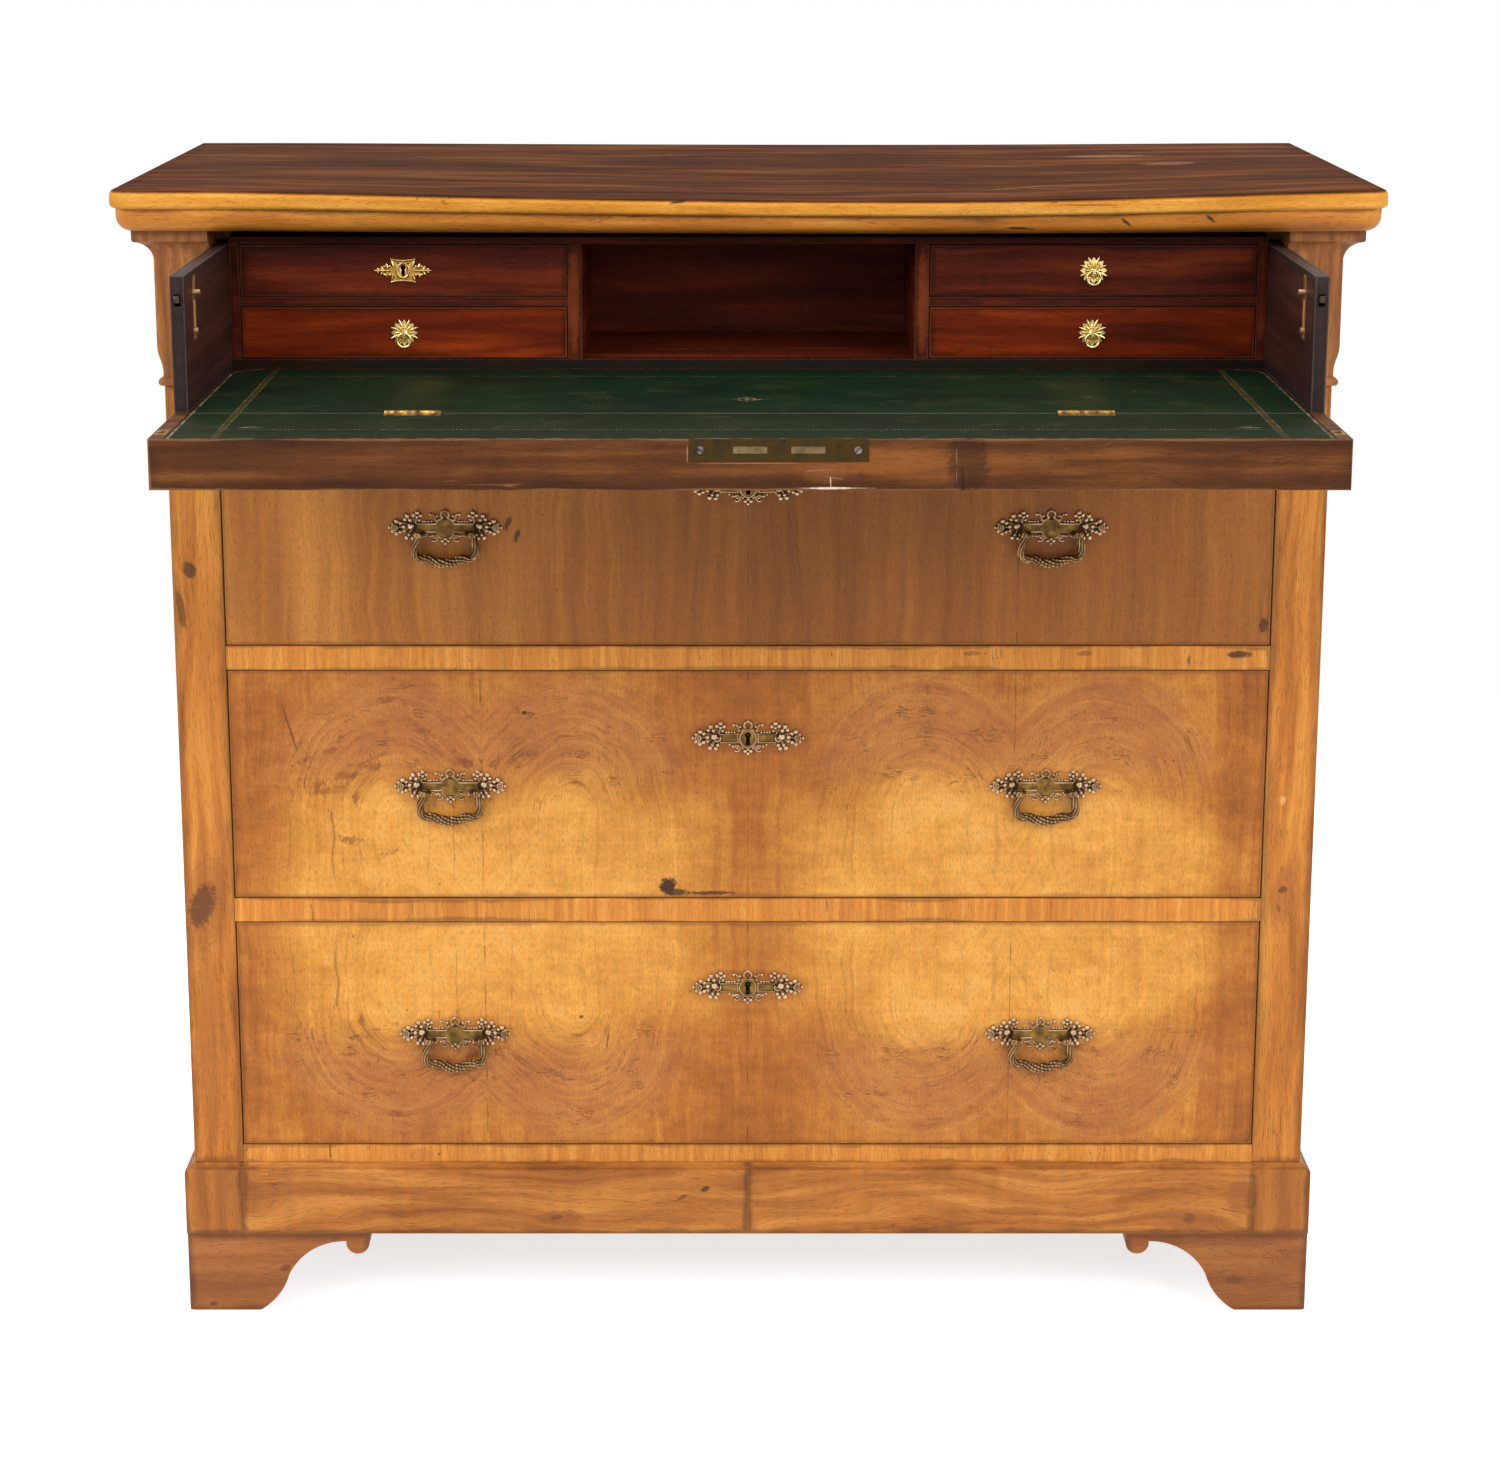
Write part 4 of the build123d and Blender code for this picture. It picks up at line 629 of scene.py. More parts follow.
def leatherSheet():
    looks = leatherLooks
    sheet = Sheet("desk_leather")
    x, yHere, _ = sheet.split(sheet.object(), 1000)
    y = yHere - frontPlane
    side = x.abs()
    cloud = sheet.field(4.0, x * 0.006, y * 0.012, roughness=0.6)
    fade = sheet.field(3.0, x * 0.02, y * 0.02, 7.0)
    colour = sheet.ramp(cloud, (0.3, looks["deep"]), (0.6, looks["green"]))
    faded = (side - 272).abs().fade(34, 4) * (y + 120).abs().fade(120, 40) * fade
    colour = sheet.blend(faded * 0.7, colour, looks["olive"])
    colour = sheet.blend(fade.fade(0.5, 0.7) * 0.25 + y.fade(-215, -250) * 0.2, colour, looks["olive"])
    colour = sheet.shade(colour, 1 - y.fade(-215, -250) * 0.22)
    grain = sheet.cells(sheet.join(x, y), 0.62)
    colour = sheet.shade(colour, grain * 0.3 + 0.85)
    worn = sheet.field(3.0, x * 0.09, y * 0.09)
    rub = worn.fade(0.42, 0.62)
    gold, band = gilding(sheet, x, y, side, rub)
    colour = sheet.blend(band.fade(3.2, 2.6) * (0.3 + rub * 0.25), colour, looks["band"])
    colour = sheet.blend(gold, colour, looks["gilt"])
    # Pale rub along the crease, at the edges, and small nicks
    crease = (y - looks["crease"]).abs().fade(2.4, 0.8) * (0.35 + rub * 0.5)
    ends = y.fade(-338, -341.5) * side.fade(448, 451) * 0.3
    frontEdge = y.fade(-339.5, -342) * 0.5
    nick = sheet.cells(sheet.join(x, y), 0.028).fade(0.04, 0.016) * fade.fade(0.45, 0.6)
    pale = crease.over(ends * rub).over(frontEdge * rub).over(nick * 0.6)
    colour = sheet.blend(pale, colour, looks["pale"])
    scratch = sheet.field(1.0, x * 0.01 + y * 0.02, y * 0.35 - x * 0.05)
    scratch = (scratch - 0.5).abs().fade(0.003, 0.0) * fade.fade(0.5, 0.6)
    colour = sheet.blend(scratch * 0.4, colour, looks["pale"])
    # The rounded back corners, outlined where the leather's edge has worn pale
    cornerX = (side - (looks["rim"] - looks["corner"])).over(0.0)
    cornerY = (y - (looks["back"] - looks["corner"])).over(0.0)
    beyond = (cornerX * cornerX + cornerY * cornerY) ** 0.5 - looks["corner"]
    colour = sheet.blend(beyond.fade(-0.2, 0.6), colour, looks["board"])
    outline = beyond.abs().fade(1.3, 0.5) * (0.25 + rub * 0.75) * cornerX.fade(0.0, 2.0)
    colour = sheet.blend(outline * 0.75, colour, looks["pale"])
    height = grain * 0.5 - gold * 0.6 - band.fade(3.4, 2.8) * 0.4 - crease * 0.5
    return sheet.finish({
        "Base Color": colour, "Metallic": gold * 0.3, "Roughness": 0.46 + grain * 0.16 + fade * 0.12,
        "Normal": sheet.bump(height, 0.18), "Specular IOR Level": 0.07,
    })


deskLeather = leatherSheet()


# Metals

def metalSheet(name, looks):
    # Worn metal: bright where it stands proud, dark in its hollows
    sheet = Sheet(name)
    here = sheet.object()
    hollow = sheet.own("hollow", "Fac") if looks["cast"] else sheet.noise(here, 160.0, 2.0)
    cloud = sheet.noise(here, looks["cloudScale"], 4.0, 0.6)
    tone = hollow + (cloud - 0.5) * looks["cloud"]
    colour = sheet.ramp(tone, *zip(looks["stops"], (looks["proud"], looks["middle"], looks["deep"])))
    spots = sheet.noise(here, 900.0, 2.0).fade(0.58, 0.72)
    colour = sheet.blend(spots * 0.3, colour, looks["deep"])
    brushed = sheet.node("ShaderNodeMapping", {}, {"Vector": here, "Scale": looks["brush"]})
    streak = sheet.noise(brushed, 1.0, 2.0)
    if "knob" in looks:
        # The catches' thumb knobs, rubbed bright
        x = sheet.split(here, 1000)[0].abs()
        colour = sheet.blend(x.fade(looks["knob"][0], looks["knob"][0] - 0.4) * 0.8, colour, looks["knob"][1])
    colour = sheet.shade(colour, streak * 0.3 + 0.85)
    shine = tone.fade(0.62, 0.3)
    height = cloud * 0.6 - spots * 0.5 + streak * 0.3
    return sheet.finish({
        "Base Color": colour, "Metallic": looks["metallic"] + shine * (1 - looks["metallic"]),
        "Roughness": looks["roughness"] - shine * 0.14 + cloud * 0.14,
        "Normal": sheet.bump(height, looks["bump"]),
    })


def metal(**changes):
    looks = {
        "cast": False, "proud": tint(222, 190, 132), "middle": tint(158, 122, 66), "deep": tint(66, 44, 24),
        "cloud": 0.6, "cloudScale": 60.0, "brush": (90, 900, 900), "roughness": 0.42, "metallic": 0.8,
        "bump": 0.12, "stops": (0.28, 0.5, 0.74),
    }
    looks.update(changes)
    return looks


castBrass = metalSheet("cast_brass", metal(
    cast=True, proud=tint(214, 184, 150), middle=tint(136, 102, 64), deep=tint(58, 38, 22), cloud=0.34,
    stops=(0.12, 0.42, 0.68),
))
bailBrass = metalSheet("bail_brass", metal(
    cast=True, proud=tint(182, 146, 102), middle=tint(110, 80, 47), deep=tint(48, 32, 20), cloud=0.4,
    roughness=0.44, stops=(0.16, 0.44, 0.74),
))
giltBrass = metalSheet("gilt_brass", metal(
    cast=True, proud=tint(255, 232, 158), middle=tint(222, 172, 84), deep=tint(98, 58, 24), cloud=0.25,
    roughness=0.32,
))
bandBrass = metalSheet("band_brass", metal(
    proud=tint(146, 110, 52), middle=tint(116, 86, 40), deep=tint(84, 60, 30), cloudScale=30.0, cloud=0.4,
    roughness=0.5,
))
hingeBrass = metalSheet("hinge_brass", metal(
    proud=tint(212, 170, 92), middle=tint(146, 108, 50), deep=tint(70, 46, 24), cloudScale=110.0, cloud=1.1,
))
catchSteel = metalSheet("catch_steel", metal(
    proud=tint(142, 130, 120), middle=tint(78, 68, 62), deep=tint(30, 25, 23), cloudScale=110.0, cloud=0.8,
    knob=(455.6, tint(206, 166, 112)),
))
lockBrass = metalSheet("lock_brass", metal(
    proud=tint(80, 58, 28), middle=tint(66, 48, 22), deep=tint(52, 37, 17), cloudScale=26.0, cloud=0.3,
    roughness=0.5,
))
boltBrass = metalSheet("bolt_brass", metal(
    proud=tint(138, 120, 86), middle=tint(118, 100, 68), deep=tint(94, 77, 50), cloudScale=30.0, cloud=0.3,
))
screwSteel = metalSheet("screw_steel", metal(
    proud=tint(196, 190, 184), middle=tint(128, 122, 120), deep=tint(52, 46, 44), cloudScale=120.0,
))
print("metals and leather mixed")


# Dressing the wood: each CAD board becomes a board with eased edges that knows its own grain

def solidsOf(node):
    # The faces of each closed solid: one is whole when every edge has met its twin
    mesh = frame["nodes"][node].data
    spots = [tuple(round(c * 1e6) for c in vertex.co) for vertex in mesh.vertices]
    openEdges, solids, current = set(), [], []
    for face in mesh.polygons:
        corners = [spots[i] for i in face.vertices]
        for start, end in zip(corners, corners[1:] + corners[:1]):
            if (end, start) in openEdges:
                openEdges.discard((end, start))
            else:
                openEdges.add((start, end))
        current.append(face.index)
        if not openEdges:
            solids.append(current)
            current = []
    return solids


def solidMesh(node, faces):
    # One solid of a CAD node, its doubled corners merged
    source = frame["nodes"][node].data
    solid = bmesh.new()
    made = {}
    for index in faces:
        corners = []
        for i in source.polygons[index].vertices:
            spot = tuple(round(c * 1e6) for c in source.vertices[i].co)
            if spot not in made:
                made[spot] = solid.verts.new(source.vertices[i].co)
            corners.append(made[spot])
        if len(set(corners)) == 3:
            solid.faces.new(corners)
    return solid


def easeEdges(solid, rounding):
    # Joins flat triangles and rounds the arrises
    bmesh.ops.dissolve_limit(solid, angle_limit=math.radians(0.4), verts=solid.verts, edges=solid.edges)
    sharp = [e for e in solid.edges if len(e.link_faces) == 2 and e.calc_face_angle(0) > math.radians(32)]
    if rounding and sharp:
        bmesh.ops.bevel(
            solid, geom=sharp, offset=rounding * mm, offset_type="OFFSET", segments=2, profile=0.5,
            affect="EDGES", clamp_overlap=True,
        )


def addThing(name, data):
    thing = bpy.data.objects.new(name, data)
    bpy.context.scene.collection.objects.link(thing)
    return thing


def thingFrom(name, vertices, faces):
    mesh = bpy.data.meshes.new(name)
    mesh.from_pydata(vertices, [], faces)
    mesh.update()
    return addThing(name, mesh)


def giveNumbers(mesh, name, values):
    # A point attribute: one number or one vector a vertex
    isVector = isinstance(values[0], (tuple, Vector))
    kind = "FLOAT_VECTOR" if isVector else "FLOAT"
    data = mesh.attributes.new(name, kind, "POINT").data
    flat = [c for value in values for c in value] if isVector else list(values)
    data.foreach_set("vector" if isVector else "value", flat)


def evaluated(thing, name):
    # The mesh that a thing's modifiers make, as a new plain thing; the old one goes
    graph = bpy.context.evaluated_depsgraph_get()
    final = thing.evaluated_get(graph)
    mesh = bpy.data.meshes.new_from_object(final, preserve_all_data_layers=True, depsgraph=graph)
    bpy.data.objects.remove(thing)
    mesh.name = name
    return addThing(name, mesh)


def settle(thing, body, material, nodes=()):
    # The last step of each piece: its finish, its body, what it stands for
    thing.data.materials.clear()
    thing.data.materials.append(material)
    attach(thing, body)
    if nodes:
        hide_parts(*nodes)
    return thing


def dress(
    node, material, slotName, grainAxis=None, rounding=0.8, reshape=None, chosen=None, name=None, cuts=(),
):
    # A CAD node's boards, eased and grained; chosen picks some of its solids, cuts are where it can bend
    vertices, faces, grain, halves, seeds = [], [], [], [], []
    pick = random.Random(node)
    for number, group in enumerate(solidsOf(node)):
        seed = pick.random()
        if chosen is not None and number not in chosen:
            continue
        solid = solidMesh(node, group)
        low = Vector([min(v.co[k] for v in solid.verts) for k in range(3)])
        high = Vector([max(v.co[k] for v in solid.verts) for k in range(3)])
        size = high - low
        middle = (high + low) / 2
        order = sorted(range(3), key=lambda k: -size[k])
        if grainAxis is not None:
            order.remove(grainAxis)
            order.insert(0, grainAxis)
        easeEdges(solid, rounding)
        for x in cuts:
            geometry = solid.verts[:] + solid.edges[:] + solid.faces[:]
            bmesh.ops.bisect_plane(solid, geom=geometry, plane_co=(x * mm, 0, 0), plane_no=(1, 0, 0))
        solid.verts.index_update()
        start = len(vertices)
        for vertex in solid.verts:
            offset = vertex.co - middle
            vertices.append(reshape(vertex.co.copy()) if reshape else vertex.co.copy())
            grain.append(tuple(offset[k] for k in order))
            halves.append(tuple(size[k] / 2 for k in order))
            seeds.append(seed)
        faces += [[start + vertex.index for vertex in face.verts] for face in solid.faces]
        solid.free()
    thing = thingFrom(name or node + "_finished", vertices, faces)
    giveNumbers(thing.data, "grain", grain)
    giveNumbers(thing.data, "halfSize", halves)
    giveNumbers(thing.data, "seed", seeds)
    thing.data.shade_smooth()
    weighted = thing.modifiers.new("normals", "WEIGHTED_NORMAL")
    weighted.keep_sharp = True
    thing = evaluated(thing, name or node + "_finished")
    return settle(thing, bodyOf[node], material, () if chosen is not None else (node,))


sag = {
    "middle": 130.0, "left": 600.0, "right": 390.0, "top": 8.8, "bottom": 2.2, "bias": 0.75, "front": -33.5,
    "rear": 440.0,
}


def sagged(spot):
    # The old top has sunk a little between its ends, most at the front and right of the middle
    x = spot.x / mm - sag["middle"]
    reach = sag["right"] if x > 0 else sag["left"]
    depth = behindFront(spot.y)
    share = max(0.0, 1 - (x / reach) ** 2) ** 1.4
    share *= 1 - 0.8 * min(1.0, max(0.0, (depth - sag["front"]) / (sag["rear"] - sag["front"])))
    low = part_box("top_moulding")[0].z
    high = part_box("top_board")[1].z
    rise = max(0.0, (spot.z - low) / (high - low)) ** sag["bias"]
    spot.z -= (sag["bottom"] + (sag["top"] - sag["bottom"]) * rise) * share * mm
    return spot


alongX, alongZ = 0, 2  # the axis that a board's grain is made to follow
boards = (
    # nodes, finish, slot, grain, rounding
    (("side_panel_left", "side_panel_right", "stiles"), caseWalnut, "case_walnut", alongZ, 1.2),
    (("frieze_left", "frieze_right"), friezeWalnut, "frieze_walnut", alongZ, 0.6),
    (("back_boards", "bottom_board"), liningPine, "lining_pine", None, 0.8),
    (("drawer_rails",), railWalnut, "rail_walnut", alongZ, 0.6),
    (("drawer_runners", "drawer_stops"), liningPine, "lining_pine", None, 0.8),
    (("plinth_boards",), plinthWalnut, "plinth_walnut", None, 0.5),
    (("plinth_corner_blocks",), cornerWalnut, "plinth_walnut", alongZ, 0.5),
    (("feet_front", "feet_back"), footWalnut, "foot_walnut", None, 1.0),
    (("top_board",), topWalnut, "top_walnut", alongX, 0.0, sagged),
    (("top_moulding",), mouldingWalnut, "case_walnut", None, 0.4, sagged),
    (("writing_board", "writing_drawer_box"), darkMahogany, "dark_mahogany", None, 0.8),
    (("nest_frame",), nestShaded, "nest_mahogany", None, 0.5),
    (("nest_drawer_lower_left", "nest_drawer_lower_right"), nestMahogany, "nest_mahogany", None, 0.5),
    (("nest_drawer_upper_left", "nest_drawer_upper_right"), nestShaded, "nest_mahogany", None, 0.5),
    (("fall_board",), fallWalnut, "fall_walnut", alongX, 1.0),
    (("writing_leather", "fall_leather"), deskLeather, "desk_leather", alongX, 0.35),
)
bends = range(-460, 461, 40)  # the planes, in millimetres from the middle, at which the sunken top bends


def dressBoards():
    for nodes, material, slotName, grainAxis, rounding, *reshape in boards:
        for node in nodes:
            if reshape:
                dress(node, material, slotName, grainAxis, rounding, *reshape, cuts=bends)
            else:
                dress(node, material, slotName, grainAxis, rounding)


def dressDrawers():
    for number in (1, 2, 3):
        dress(f"drawer_{number}_front", frontWalnut, "front_walnut", alongX, 1.0)
        dress(f"drawer_{number}_box", drawerOak, "drawer_oak")


dressBoards()
dressDrawers()
print("boards dressed")


# Metal fittings that keep their CAD shape

def keepNode(node, material):
    thing = frame["nodes"][node]
    for slot in thing.material_slots:
        slot.material = material


for node in ("writing_hinge_leaves", "fall_hinge_leaves", "fall_keepers"):
    keepNode(node, hingeBrass)
for node in ("catch_plates", "catch_left", "catch_right"):
    keepNode(node, catchSteel)
for node in ("fall_lock_bolts", "drawer_1_bolt", "drawer_2_bolt", "drawer_3_bolt"):
    keepNode(node, boltBrass)
keepNode("fall_lock", lockBrass)


# Cast fittings: lumps piled up in the plate's own place, then fused into one skin

# How finely each casting is fused, in millimetres, and how many triangles it may keep
skins = {
    "handle_casting": (0.4, 26000), "keyhole_casting": (0.4, 26000), "small_keyhole_casting": (0.3, 14000),
    "rosette_casting": (0.28, 9000), "bail_casting": (0.4, 12000), "post_casting": (0.45, 5000),
}


class Casting:
    # x to the right, z up and out from the wood, in millimetres
    def __init__(self):
        self.body = bmesh.new()

    def bead(self, x, z, radius, out=0.9, flat=0.8, wide=1.0, lean=0.0):
        matrix = Matrix.Translation((x, -out, z)) @ Matrix.Rotation(math.radians(lean), 4, "Y")
        matrix = matrix @ Matrix.Diagonal((wide, flat, 1, 1))
        bmesh.ops.create_uvsphere(self.body, u_segments=16, v_segments=10, radius=radius, matrix=matrix)

    def stem(self, points, startRadius, endRadius, out=1.0, flat=0.85):
        # A tapering rod through points (x, z), closed with round ends
        count = len(points)
        sides = 10
        rings = []
        for i, point in enumerate(points):
            before, after = points[max(0, i - 1)], points[min(count - 1, i + 1)]
            along = Vector((after[0] - before[0], 0, after[1] - before[1])).normalized()
            across = Vector((along.z, 0, -along.x))
            radius = startRadius + (endRadius - startRadius) * i / (count - 1)
            middle = Vector((point[0], -out, point[1]))
            ring = []
            for k in range(sides):
                turn = 2 * math.pi * k / sides
                ring.append(self.body.verts.new(
                    middle + across * math.cos(turn) * radius + Vector((0, math.sin(turn) * radius * flat, 0))
                ))
            rings.append(ring)
        for first, second in zip(rings, rings[1:]):
            for k in range(sides):
                j = (k + 1) % sides
                self.body.faces.new((first[k], first[j], second[j], second[k]))
        self.body.faces.new(rings[0][::-1])
        self.body.faces.new(rings[-1])

    def curl(self, x, z, radius, startTurn, sweep, startThick, endThick, out=1.1):
        # A scroll: a stem that winds inwards
        steps = 14
        points = []
        for i in range(steps + 1):
            share = i / steps
            turn = math.radians(startTurn + sweep * share)
            reach = radius * (1 - 0.62 * share)
            points.append((x + reach * math.cos(turn), z + reach * math.sin(turn)))
        self.stem(points, startThick, endThick, out)
        self.bead(*points[-1], endThick * 1.5, out + 0.2)

    def leaf(self, x, z, toX, toZ, width, out=1.0):
        # A pointed leaf with a raised middle
        length = math.hypot(toX - x, toZ - z)
        lean = -math.degrees(math.atan2(toZ - z, toX - x))
        self.bead((x + toX) / 2, (z + toZ) / 2, width, out, 0.7, length / 2 / width, lean)
        self.stem([(x, z), (toX, toZ)], width * 0.55, width * 0.2, out + 0.5)

    def slab(self, outline, low, high):
        # A flat piece between two levels
        count = len(outline)
        bottom = [self.body.verts.new((x, -low, z)) for x, z in outline]
        top = [self.body.verts.new((x, -high, z)) for x, z in outline]
        self.body.faces.new(bottom)
        self.body.faces.new(top[::-1])
        for i in range(count):
            j = (i + 1) % count
            self.body.faces.new((bottom[j], bottom[i], top[i], top[j]))

    def collar(self, outer, inner, low, high):
        # A flat piece with a hole; both outlines have as many points
        count = len(outer)
        rings = [
            [self.body.verts.new((x, -level, z)) for x, z in outline]
            for outline, level in ((outer, low), (outer, high), (inner, high), (inner, low))
        ]
        for first, second in zip(rings, rings[1:] + rings[:1]):
            for i in range(count):
                j = (i + 1) % count
                self.body.faces.new((first[i], first[j], second[j], second[i]))

    def hoop(self, outline, radius, out):
        # A rod round a closed outline
        self.stem(outline + outline[:1], radius, radius, out)

    def laidOut(self, name):
        # The lumps as they were laid, not fused
        bmesh.ops.recalc_face_normals(self.body, faces=self.body.faces)
        mesh = bpy.data.meshes.new(name)
        self.body.to_mesh(mesh)
        self.body.free()
        return addThing(name, mesh)

    def fuse(self, name):
        # One skin over all the lumps, thinned out to a limit of triangles
        voxel, limit = skins[name]
        thing = self.laidOut(name)
        skin = thing.modifiers.new("skin", "REMESH")
        skin.mode = "VOXEL"
        skin.voxel_size = voxel
        soften = thing.modifiers.new("soften", "SMOOTH")
        soften.factor = 0.5
        soften.iterations = 2
        thing = evaluated(thing, name)
        triangles = 2 * len(thing.data.polygons)
        if triangles > limit:
            fewer = thing.modifiers.new("fewer", "DECIMATE")
            fewer.ratio = limit / triangles
            thing = evaluated(thing, name)
        thing.data.shade_smooth()
        findHollows(thing.data)
        print(name, "has", len(thing.data.polygons), "faces")
        return thing


def findHollows(mesh, rounds=3):
    # 0 on ridges, 1 in hollows, 0.5 on flats: how each point lies to its neighbours
    count = len(mesh.vertices)
    spots = numpy.empty(count * 3)
    mesh.vertices.foreach_get("co", spots)
    spots = spots.reshape(-1, 3)
    normals = numpy.empty(count * 3)
    mesh.vertices.foreach_get("normal", normals)
    normals = normals.reshape(-1, 3)
    ends = numpy.empty(len(mesh.edges) * 2, dtype=numpy.int32)
    mesh.edges.foreach_get("vertices", ends)
    ends = ends.reshape(-1, 2)
    degree = numpy.maximum(numpy.bincount(ends.ravel(), minlength=count), 1)

    def spread(values):
        total = numpy.zeros_like(values)
        numpy.add.at(total, ends[:, 0], values[ends[:, 1]])
        numpy.add.at(total, ends[:, 1], values[ends[:, 0]])
        return total / (degree if values.ndim == 1 else degree[:, None])

    lengths = numpy.linalg.norm(spots[ends[:, 0]] - spots[ends[:, 1]], axis=1)
    bend = ((spread(spots) - spots) * normals).sum(axis=1) / lengths.mean()
    for _ in range(rounds):
        bend = bend * 0.4 + spread(bend) * 0.6
    hollow = numpy.clip(0.5 + bend * 2.6, 0, 1)
    data = mesh.attributes.new("hollow", "FLOAT", "POINT").data
    data.foreach_set("value", hollow.astype(numpy.float32))


def arc(x, z, radius, start, end, steps=10, squeeze=1.0):
    turns = [math.radians(start + (end - start) * i / steps) for i in range(steps + 1)]
    return [(x + radius * math.cos(t), z + radius * squeeze * math.sin(t)) for t in turns]


def ellipse(halfWidth, halfHeight, steps=48):
    turns = [2 * math.pi * i / steps for i in range(steps)]
    return [(halfWidth * math.cos(t), halfHeight * math.sin(t)) for t in turns]


def mirrored(points, side):
    # The same outline on the other side, still running the same way round
    return [(side * x, z) for x, z in points][::side]


def wings(casting):
    # The leafy ends that handle plates and keyhole plates share
    backing = (
        (21, 5.5), (23.4, 11.4), (26.4, 10.6), (29, 5.0), (33.6, 9.4), (35.6, 6.0), (41.4, 5.4),
        (45.6, 2.6), (48.4, 0.2), (45.6, -2.6), (42.4, -4.4), (37, -3.0), (34.2, -7.8), (31, -5.4),
        (28.6, -8.4), (24, -5.6),
    )
    lobes = (
        # x, z, radius, height above the wood
        (21.6, 11.0, 2.0, 1.3), (24.6, 13.7, 2.1, 1.4), (27.4, 11.4, 2.1, 1.4), (24.5, 9.8, 1.5, 2.2),
        (30.9, 7.0, 1.9, 1.2), (33.4, 10.8, 2.2, 1.4), (35.4, 7.6, 1.7, 1.3), (30.2, 1.6, 3.1, 1.9),
        (42.8, 6.0, 2.3, 1.4), (39.6, 4.4, 1.8, 1.5), (46.0, 3.3, 2.0, 1.4), (48.9, 0.4, 1.7, 1.2),
        (46.4, -2.9, 2.0, 1.4), (43.0, -4.9, 2.2, 1.4), (39.7, -3.6, 1.8, 1.5), (36.4, 1.2, 2.0, 1.9),
        (34.0, -8.8, 2.2, 1.4), (32.0, -6.2, 1.7, 1.5), (28.7, -9.3, 2.1, 1.4), (27.2, -6.4, 1.8, 1.4),
        (36.0, -2.6, 1.6, 1.4), (22.8, 7.0, 1.5, 1.4),
    )
    for side in (1, -1):
        casting.slab(mirrored(backing, side), 0.0, 0.9)
        for x, z, radius, out in lobes:
            casting.bead(side * x, z, radius, out, 0.7)
        casting.stem(arc(side * 44.6, 0.3, 2.3, 0, 360, 18), 0.95, 0.95, 2.2)
        casting.bead(side * 44.6, 0.3, 1.2, 2.2)
        for x, z, toX, toZ, width in (
            (31, 3, 40, 5.0, 1.3), (31, 0, 39.6, -3.4, 1.3), (29, 4, 33, 10.4, 1.2),
            (29.5, -2, 33.6, -8.4, 1.2), (26, 4, 24.6, 10, 1.2), (33, 1.4, 42, 0.4, 1.2),
        ):
            casting.leaf(side * x, z, side * toX, toZ, width, 1.2)


def crests(casting, rise):
    # The shell over the middle and the trefoil under it, with their scrolls
    casting.stem(arc(0, rise, 3.3, -60, 240, 20), 1.15, 1.15, 1.6)
    casting.bead(0, rise + 4.0, 1.2, 1.5)
    for side in (1, -1):
        stalk = ((2.4, rise - 2.6), (4.6, rise - 4.2), (8.6, rise - 5.2))
        casting.stem([(side * x, z) for x, z in stalk], 1.1, 0.8, 1.5)
        scroll = ((8.2, 6.4), (8.6, rise - 2.6), (10.6, rise + 0.6), (12.6, rise + 0.4))
        casting.stem([(side * x, z) for x, z in scroll], 1.0, 0.8, 1.3)
        casting.bead(side * 12.8, rise + 0.2, 1.4, 1.3)
        casting.bead(side * 7.2, rise - 1.2, 1.3, 1.2)
        for x in (12.0, 14.6, 17.2, 19.4):
            casting.bead(side * x, 5.6, 1.0, 1.2)
        casting.stem(arc(side * 9.8, -9.4, 2.6, 90 - 60 * side, 90 + 230 * side, 14), 1.15, 0.9, 1.4)
        casting.bead(side * 9.4, -9.0, 1.2, 1.8)
        casting.bead(side * 13.6, -7.4, 1.3, 1.2)
        casting.bead(side * 16.6, -6.0, 1.1, 1.1)
        casting.bead(side * 2.5, -11.8, 1.8, 1.4)
        casting.stem([(side * 4.0, -9.6), (side * 7.0, -7.0)], 1.0, 0.9, 1.3)
    casting.bead(0, -14.2, 1.6, 1.3)
    casting.bead(0, -10.0, 1.5, 1.8)


def bandOutline(grow):
    # The handle plate's plain band, with its eight-sided middle
    right = (
        (3.4, -8.2), (6.8, -5.0), (7.2, -2.8), (24.0, -2.7), (24.0, 2.7), (7.2, 2.8), (6.6, 4.4), (3.8, 6.8),
    )
    right = [(x + grow, z + math.copysign(grow, z)) for x, z in right]
    return right + [(-x, z) for x, z in right[::-1]]


def handleCasting():
    casting = Casting()
    wings(casting)
    crests(casting, 11.8)
    casting.slab(bandOutline(1.0), 0.0, 1.2)
    casting.hoop(bandOutline(0.7), 0.7, 1.6)
    return casting.fuse("handle_casting")


def keyholeReach(turn, size=1.0):
    # How far the keyhole's edge lies from a point just under its head, in one direction
    low, high = 0.0, 12.0 * size
    for _ in range(24):
        reach = (low + high) / 2
        x, z = reach * math.cos(turn), reach * math.sin(turn) + 1.2 * size
        head = math.hypot(x, z - 3.2 * size) < 2.8 * size
        slot = -6.2 * size < z < 3.2 * size and abs(x) < (1.5 + (3.2 * size - z) / (9.4 * size) * 0.7) * size
        low, high = (reach, high) if head or slot else (low, reach)
    return low


def keyholeOutline(size=1.0, steps=48):
    points = []
    for i in range(steps):
        turn = 2 * math.pi * i / steps
        reach = keyholeReach(turn, size)
        points.append((reach * math.cos(turn), reach * math.sin(turn) + 1.2 * size))
    return points


